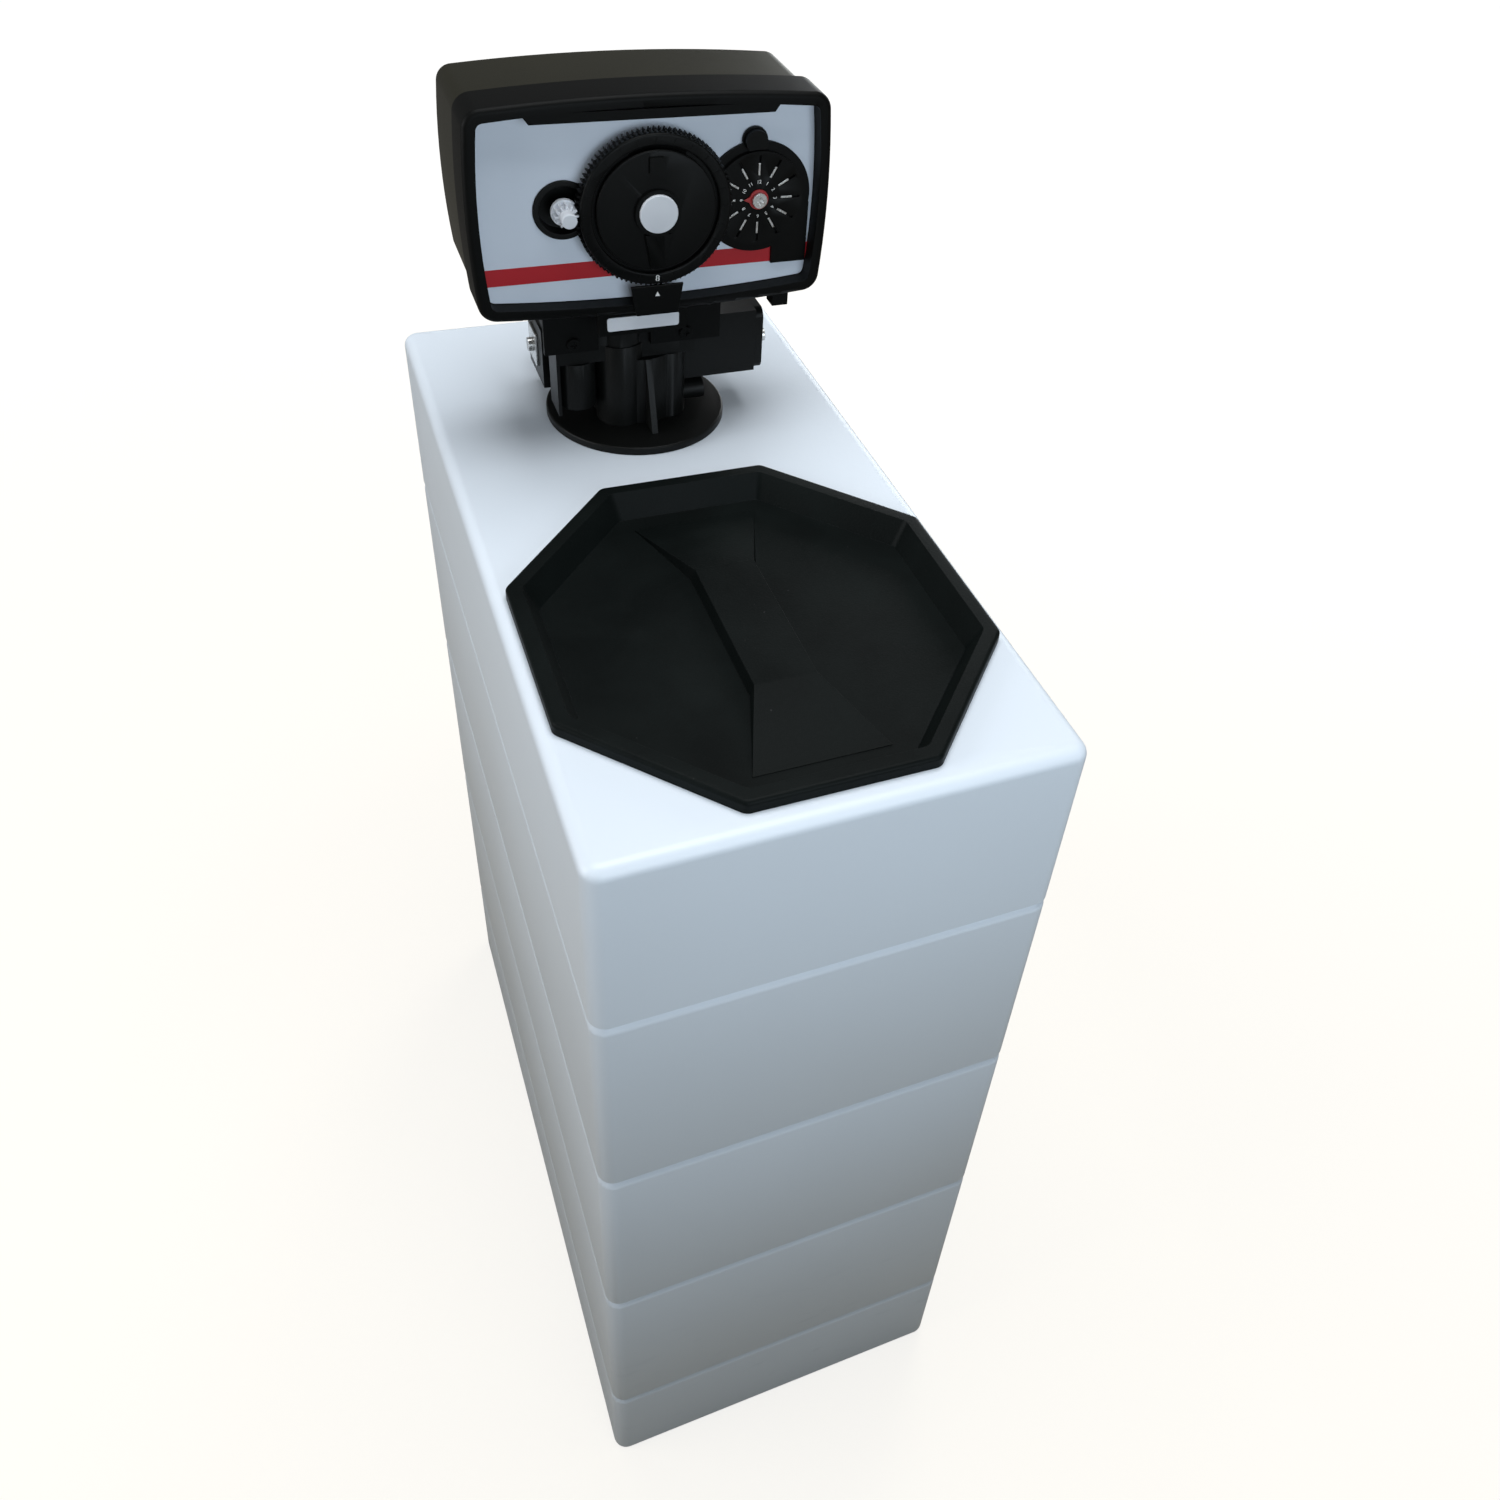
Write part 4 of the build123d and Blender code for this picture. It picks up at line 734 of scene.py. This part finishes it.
class SOFTENER_OT_couplings(bpy.types.Operator):
    """Threaded inlet and outlet at the back of the valve"""

    bl_idname = "softener.couplings"
    bl_label = "Couplings"

    thread_length = 21 * MM
    core_radius = 12.1 * MM
    crest_radius = 13.1 * MM
    pitch = 1.81 * MM
    ridge_share = 0.8
    slack = 0.1 * MM
    reach = 0.5 * MM

    def execute(self, context):
        edge = context.scene.softener_black.edge
        ridge = (self.crest_radius - self.core_radius) * self.ridge_share
        run = self.thread_length - 2 * self.pitch
        thread = thread_tree()
        for node in ("inlet_coupling", "outlet_coupling"):
            low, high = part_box(node)
            middle = (Vector(low) + Vector(high)) / 2
            foot = high[1] - self.thread_length
            mesh = merged_copy(node)
            for vertex in mesh.vertices:
                out = Vector((vertex.co.x - middle.x, 0.0, vertex.co.z - middle.z))
                on_thread = vertex.co.y > foot - self.slack
                if on_thread and self.core_radius < out.length < self.crest_radius + self.reach:
                    vertex.co += out.normalized() * (self.core_radius - out.length)
            winding = thread.mesh(
                finish_node(node), Turns=run / self.pitch, Radius=self.crest_radius - ridge, Length=run,
                Ridge=ridge,
            )
            place = Matrix.Translation((middle.x, foot + self.pitch, middle.z))
            winding.transform(place @ BACKWARD)
            shade(winding)
            body = joined([rolled(mesh, edge), winding], node + "_mesh")
            new_piece(node + "_moulding", body, node=node, material=finish_node(node))
        return {"FINISHED"}


class SOFTENER_OT_head_casing(bpy.types.Operator):
    """Front frame, rear cover and back plate of the power head"""

    bl_idname = "softener.head_casing"
    bl_label = "Head casing"

    def execute(self, context):
        edge = context.scene.softener_black.edge
        softened("front_frame", edge, angle=30.0)
        softened("rear_cover", edge, finish_of("cover"), angle=30.0)
        softened("back_plate", edge)
        softened("cord_gland", edge)
        softened("head_screws", edge * SMALL_EDGE)
        return {"FINISHED"}


class SOFTENER_OT_face_plate(bpy.types.Operator):
    """Pale plate behind the dials with its stripe, the time pointer and the blank tag"""

    bl_idname = "softener.face_plate"
    bl_label = "Face plate"

    stripe_inset = 0.9 * MM
    upper_share = 0.6
    arrow_half = 1.1 * MM
    arrow_rise = 2.2 * MM
    arrow_drop = 5.2 * MM

    def execute(self, context):
        softened("label_plate", 0.2 * MM)
        softened("blank_tag", 0.15 * MM)
        softened("time_pointer", 0.3 * MM)
        softened("pinion_cup", 0.4 * MM)
        self.arrow()
        self.stripe(context.scene.softener_face)
        return {"FINISHED"}

    def arrow(self):
        """Small raised triangle on the time pointer that points at the dial."""
        low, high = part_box("time_pointer")
        middle, foot = (low[0] + high[0]) / 2, high[2] - self.arrow_drop
        corners = (
            (middle - self.arrow_half, foot), (middle + self.arrow_half, foot),
            (middle, foot + self.arrow_rise),
        )
        mesh = printed("pointer_arrow", corners, low[1])
        new_piece("pointer_arrow", mesh, body="cabinet", slot="pale_knob", material=finish_of("white_mark"))

    def stripe(self, face):
        """Printed stripe across the plate, inset from its curved sides."""
        low = CABINET_HIGH.z + face.stripe_low
        high, upper_inset = low + face.stripe_width, self.stripe_inset * self.upper_share
        corners = (
            (LABEL_LOW.x + self.stripe_inset, low), (LABEL_HIGH.x - self.stripe_inset, low),
            (LABEL_HIGH.x - upper_inset, high), (LABEL_LOW.x + upper_inset, high),
        )
        mesh = printed("stripe", corners, LABEL_LOW.y)
        new_piece("label_stripe", mesh, body="cabinet", slot="red", material=finish_of("stripe"))


class SOFTENER_OT_day_dial(bpy.types.Operator):
    """Toothed day dial with its raised hour marks"""

    bl_idname = "softener.day_dial"
    bl_label = "Day dial"

    mark_ring = 31.9 * MM
    mark_width = 0.5 * MM
    numeral_ring = 31.6 * MM
    numeral_height = 4.2 * MM
    numeral_depth = 0.3 * MM
    numeral_rise = 0.1 * MM

    def execute(self, context):
        face = context.scene.softener_face
        softened("day_gear", 0.12 * MM, segments=1)
        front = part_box("day_gear")[0].y
        marks = ring_tree().mesh(
            finish_node("day_gear"), Count=face.hours, Ring_radius=self.mark_ring, Length=face.mark,
            Width=self.mark_width, Height=self.mark_width,
        )
        marks.transform(Matrix.Translation((DIAL_AXIS.x, front, DIAL_AXIS.z)) @ UPRIGHT)
        new_piece("hour_marks", marks, body="day_dial", slot="gear")
        place = (DIAL_AXIS.x, front - self.numeral_rise, DIAL_AXIS.z - self.numeral_ring)
        numeral = text_mesh("8", self.numeral_height, self.numeral_depth, place)
        new_piece("hour_numeral", numeral, body="day_dial", slot="pale_knob",
                  material=finish_of("white_mark"))
        return {"FINISHED"}


class SOFTENER_OT_program_knob(bpy.types.Operator):
    """Program knob, its button and the main gear behind"""

    bl_idname = "softener.program_knob"
    bl_label = "Program knob"

    def execute(self, context):
        softened("program_knob", 0.35 * MM)
        softened("center_button", 0.25 * MM)
        dress("main_gear")
        return {"FINISHED"}


class SOFTENER_OT_setting_pinion(bpy.types.Operator):
    """White pinion that sets the time of day, on its shaft"""

    bl_idname = "softener.setting_pinion"
    bl_label = "Setting pinion"

    def execute(self, context):
        softened("drive_pinion", 0.12 * MM, segments=1)
        softened("set_shaft", 0.2 * MM)
        softened("drive_motor", 0.4 * MM)
        return {"FINISHED"}


class SOFTENER_OT_skipper_wheel(bpy.types.Operator):
    """Day wheel with its slotted tabs, numbers, pointer and screw"""

    bl_idname = "softener.skipper_wheel"
    bl_label = "Skipper wheel"

    edge = 0.15 * MM
    first_number = 3
    numeral_ring = 8.0 * MM
    numeral_height = 2.3 * MM
    numeral_depth = 0.2 * MM
    numeral_rise = 0.05 * MM

    def execute(self, context):
        tab_name = "day_tab_"
        tabs = sorted(
            (node for node in BODY if node.startswith(tab_name)), key=lambda node: int(node[len(tab_name):]),
        )
        for node in ("skipper_base", "skipper_wheel", "skipper_pointer", "skipper_screw", *tabs):
            softened(node, self.edge)
        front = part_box("skipper_wheel")[0].y
        numerals = []
        for index in range(len(tabs)):
            angle = index * TURN / len(tabs)
            place = (
                SKIPPER_AXIS.x + self.numeral_ring * math.cos(angle), front - self.numeral_rise,
                SKIPPER_AXIS.z + self.numeral_ring * math.sin(angle),
            )
            number = (self.first_number - index) % len(tabs) or len(tabs)
            numerals.append(
                text_mesh(str(number), self.numeral_height, self.numeral_depth, place, TURN / 4 - angle)
            )
        new_piece("day_numerals", joined(numerals, "day_numerals"), body="skipper", slot="pale_knob",
                  material=finish_of("white_mark"))
        return {"FINISHED"}


class SOFTENER_OT_stage(bpy.types.Operator):
    """Pale floor, soft light and the camera at the photograph's angle"""

    bl_idname = "softener.stage"
    bl_label = "Stage"

    sensor = 36.0
    lens = 32.045
    shift = (-0.0626, -0.0733)
    eye = (-0.16411, -0.50386, 0.92607)
    right = Vector((0.92117, -0.37936, 0.08682))
    down = Vector((-0.18694, -0.627, -0.75625))
    ahead = Vector((0.34133, 0.6804, -0.64849))
    nearest = 0.01
    floor_reach = 12.0
    floor_drop = 0.2 * MM
    floor_glow = {"From Min": 0.4, "From Max": 1.8, "To Min": 0.78, "To Max": 1.0}
    reflected_share = 0.15
    room_tint = (0.93, 0.97, 1.0, 1.0)
    lamp_tint = (0.95, 0.98, 1.0)
    front_tint = (0.80, 0.91, 1.0)

    def execute(self, context):
        scene = context.scene
        settings = scene.softener_stage
        self.camera(scene)
        self.floor(settings)
        self.world(scene, settings)
        self.softbox("key_light", settings.key, place=(0.1, 0.0, 1.9), aim=(0, 0, 0.5), size=1.0)
        self.softbox("side_light", settings.side, place=(-1.1, 0.05, 0.9), aim=(0, 0, 1.25), size=0.8)
        self.softbox(
            "fill_light", settings.fill, place=(0.15, -0.95, 0.85), aim=(0, 0, 1.25), size=0.7,
            tint=self.front_tint,
        )
        self.softbox("back_light", settings.back, place=(1.0, 1.1, 0.9), aim=(0, 0, 0.9), size=0.8)
        scene.view_settings.view_transform = "Standard"
        return {"FINISHED"}

    def camera(self, scene):
        """Camera at the place and turn that the cabinet's edges give."""
        camera = add_object("Camera", bpy.data.cameras.new("Camera"))
        scene.camera = camera
        camera.data.sensor_width = self.sensor
        camera.data.lens = self.lens
        camera.data.shift_x, camera.data.shift_y = self.shift
        camera.data.clip_start = self.nearest
        turn = Matrix((self.right, -self.down, -self.ahead)).transposed().to_4x4()
        camera.matrix_world = Matrix.Translation(self.eye) @ turn

    def floor(self, settings):
        """Wide plain floor a hair under the cabinet."""
        mesh = bpy.data.meshes.new("floor")
        reach = self.floor_reach
        corners = [(-reach, -reach, 0), (reach, -reach, 0), (reach, reach, 0), (-reach, reach, 0)]
        mesh.from_pydata(corners, [], [(0, 1, 2, 3)])
        floor = add_object("floor", mesh)
        floor.location.z = -self.floor_drop
        mesh.materials.append(self.floor_paint(settings.floor))

    def world(self, scene, settings):
        """Even room light on the object, plain white to the camera."""
        world = bpy.data.worlds.new("Studio")
        scene.world = world
        world.use_nodes = True
        nodes = Nodes(world.node_tree)
        room = nodes.add(
            "ShaderNodeBackground", None, {"Color": self.room_tint, "Strength": settings.ambient},
        )
        plain = nodes.add("ShaderNodeBackground", None, {"Color": (1, 1, 1, 1)})
        blend = nodes.add("ShaderNodeMixShader", None, {0: self.seen(nodes), 1: room, 2: plain})
        nodes.add("ShaderNodeOutputWorld", None, {"Surface": blend})

    def seen(self, nodes):
        """How much plain white a ray gets: all of it for the camera, a part for reflections."""
        camera, glossy, through = (
            nodes.add("ShaderNodeLightPath", output=flag)
            for flag in ("Is Camera Ray", "Is Glossy Ray", "Is Transmission Ray")
        )
        return camera + (glossy + through) * self.reflected_share

    def floor_paint(self, colour):
        """Near white to the camera, with a soft shadow kept."""
        material = bpy.data.materials.new("studio_floor")
        material.use_nodes = True
        nodes = Nodes(material.node_tree)
        place = nodes.add("ShaderNodeTexCoord", output="Object")
        distance = nodes.add("ShaderNodeVectorMath", {"operation": "LENGTH"}, {0: place}, output="Value")
        whiter = nodes.add("ShaderNodeMapRange", None, {"Value": distance, **self.floor_glow})
        matte = nodes.add("ShaderNodeBsdfDiffuse", None, {"Color": (*colour, 1)})
        glow = nodes.add("ShaderNodeEmission", None, {"Strength": whiter * self.seen(nodes)})
        both = nodes.add("ShaderNodeAddShader", None, {0: matte, 1: glow})
        nodes.add("ShaderNodeOutputMaterial", None, {"Surface": both})
        return material

    def softbox(self, name, power, place, aim, size, tint=lamp_tint):
        """A square area light that looks at a point."""
        lamp = bpy.data.lights.new(name, "AREA")
        lamp.size = size
        lamp.energy = power
        lamp.color = tint
        holder = add_object(name, lamp)
        holder.visible_camera = False
        holder.location = place
        holder.rotation_mode = "QUATERNION"
        holder.rotation_quaternion = (Vector(aim) - Vector(place)).to_track_quat("-Z", "Y")


class SOFTENER_PT_panel(bpy.types.Panel):
    """Lists the softener's groups of pieces"""

    bl_label = "Water softener"
    bl_idname = "SOFTENER_PT_panel"
    bl_space_type = "VIEW_3D"
    bl_region_type = "UI"
    bl_category = "Softener"

    def draw(self, context):
        for group in (getattr(context.scene, name) for name in GROUPS):
            for name in group.bl_rna.properties.keys():
                if name not in ("rna_type", "name"):
                    self.layout.prop(group, name)
        for operator in OPERATORS:
            self.layout.operator(operator.bl_idname)


OPERATORS = (
    SOFTENER_OT_cabinet, SOFTENER_OT_salt_lid, SOFTENER_OT_brine_parts, SOFTENER_OT_resin_tank,
    SOFTENER_OT_valve, SOFTENER_OT_couplings, SOFTENER_OT_head_casing, SOFTENER_OT_face_plate,
    SOFTENER_OT_day_dial, SOFTENER_OT_program_knob, SOFTENER_OT_setting_pinion, SOFTENER_OT_skipper_wheel,
    SOFTENER_OT_stage,
)
GROUPS = {
    "softener_cabinet": CabinetSettings, "softener_black": BlackSettings, "softener_face": FaceSettings,
    "softener_stage": StageSettings,
}


def register():
    for group in GROUPS.values():
        bpy.utils.register_class(group)
    for name, group in GROUPS.items():
        setattr(bpy.types.Scene, name, PointerProperty(type=group))
    for operator in OPERATORS:
        bpy.utils.register_class(operator)
    bpy.utils.register_class(SOFTENER_PT_panel)


def unregister():
    bpy.utils.unregister_class(SOFTENER_PT_panel)
    for operator in reversed(OPERATORS):
        bpy.utils.unregister_class(operator)
    for name in GROUPS:
        delattr(bpy.types.Scene, name)
    for group in reversed(GROUPS.values()):
        bpy.utils.unregister_class(group)


def main():
    """Builds the dressed softener on its stage."""
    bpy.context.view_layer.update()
    register()
    for operator in OPERATORS:
        space, name = operator.bl_idname.split(".")
        getattr(getattr(bpy.ops, space), name)()


if __name__ == "__main__":
    main()
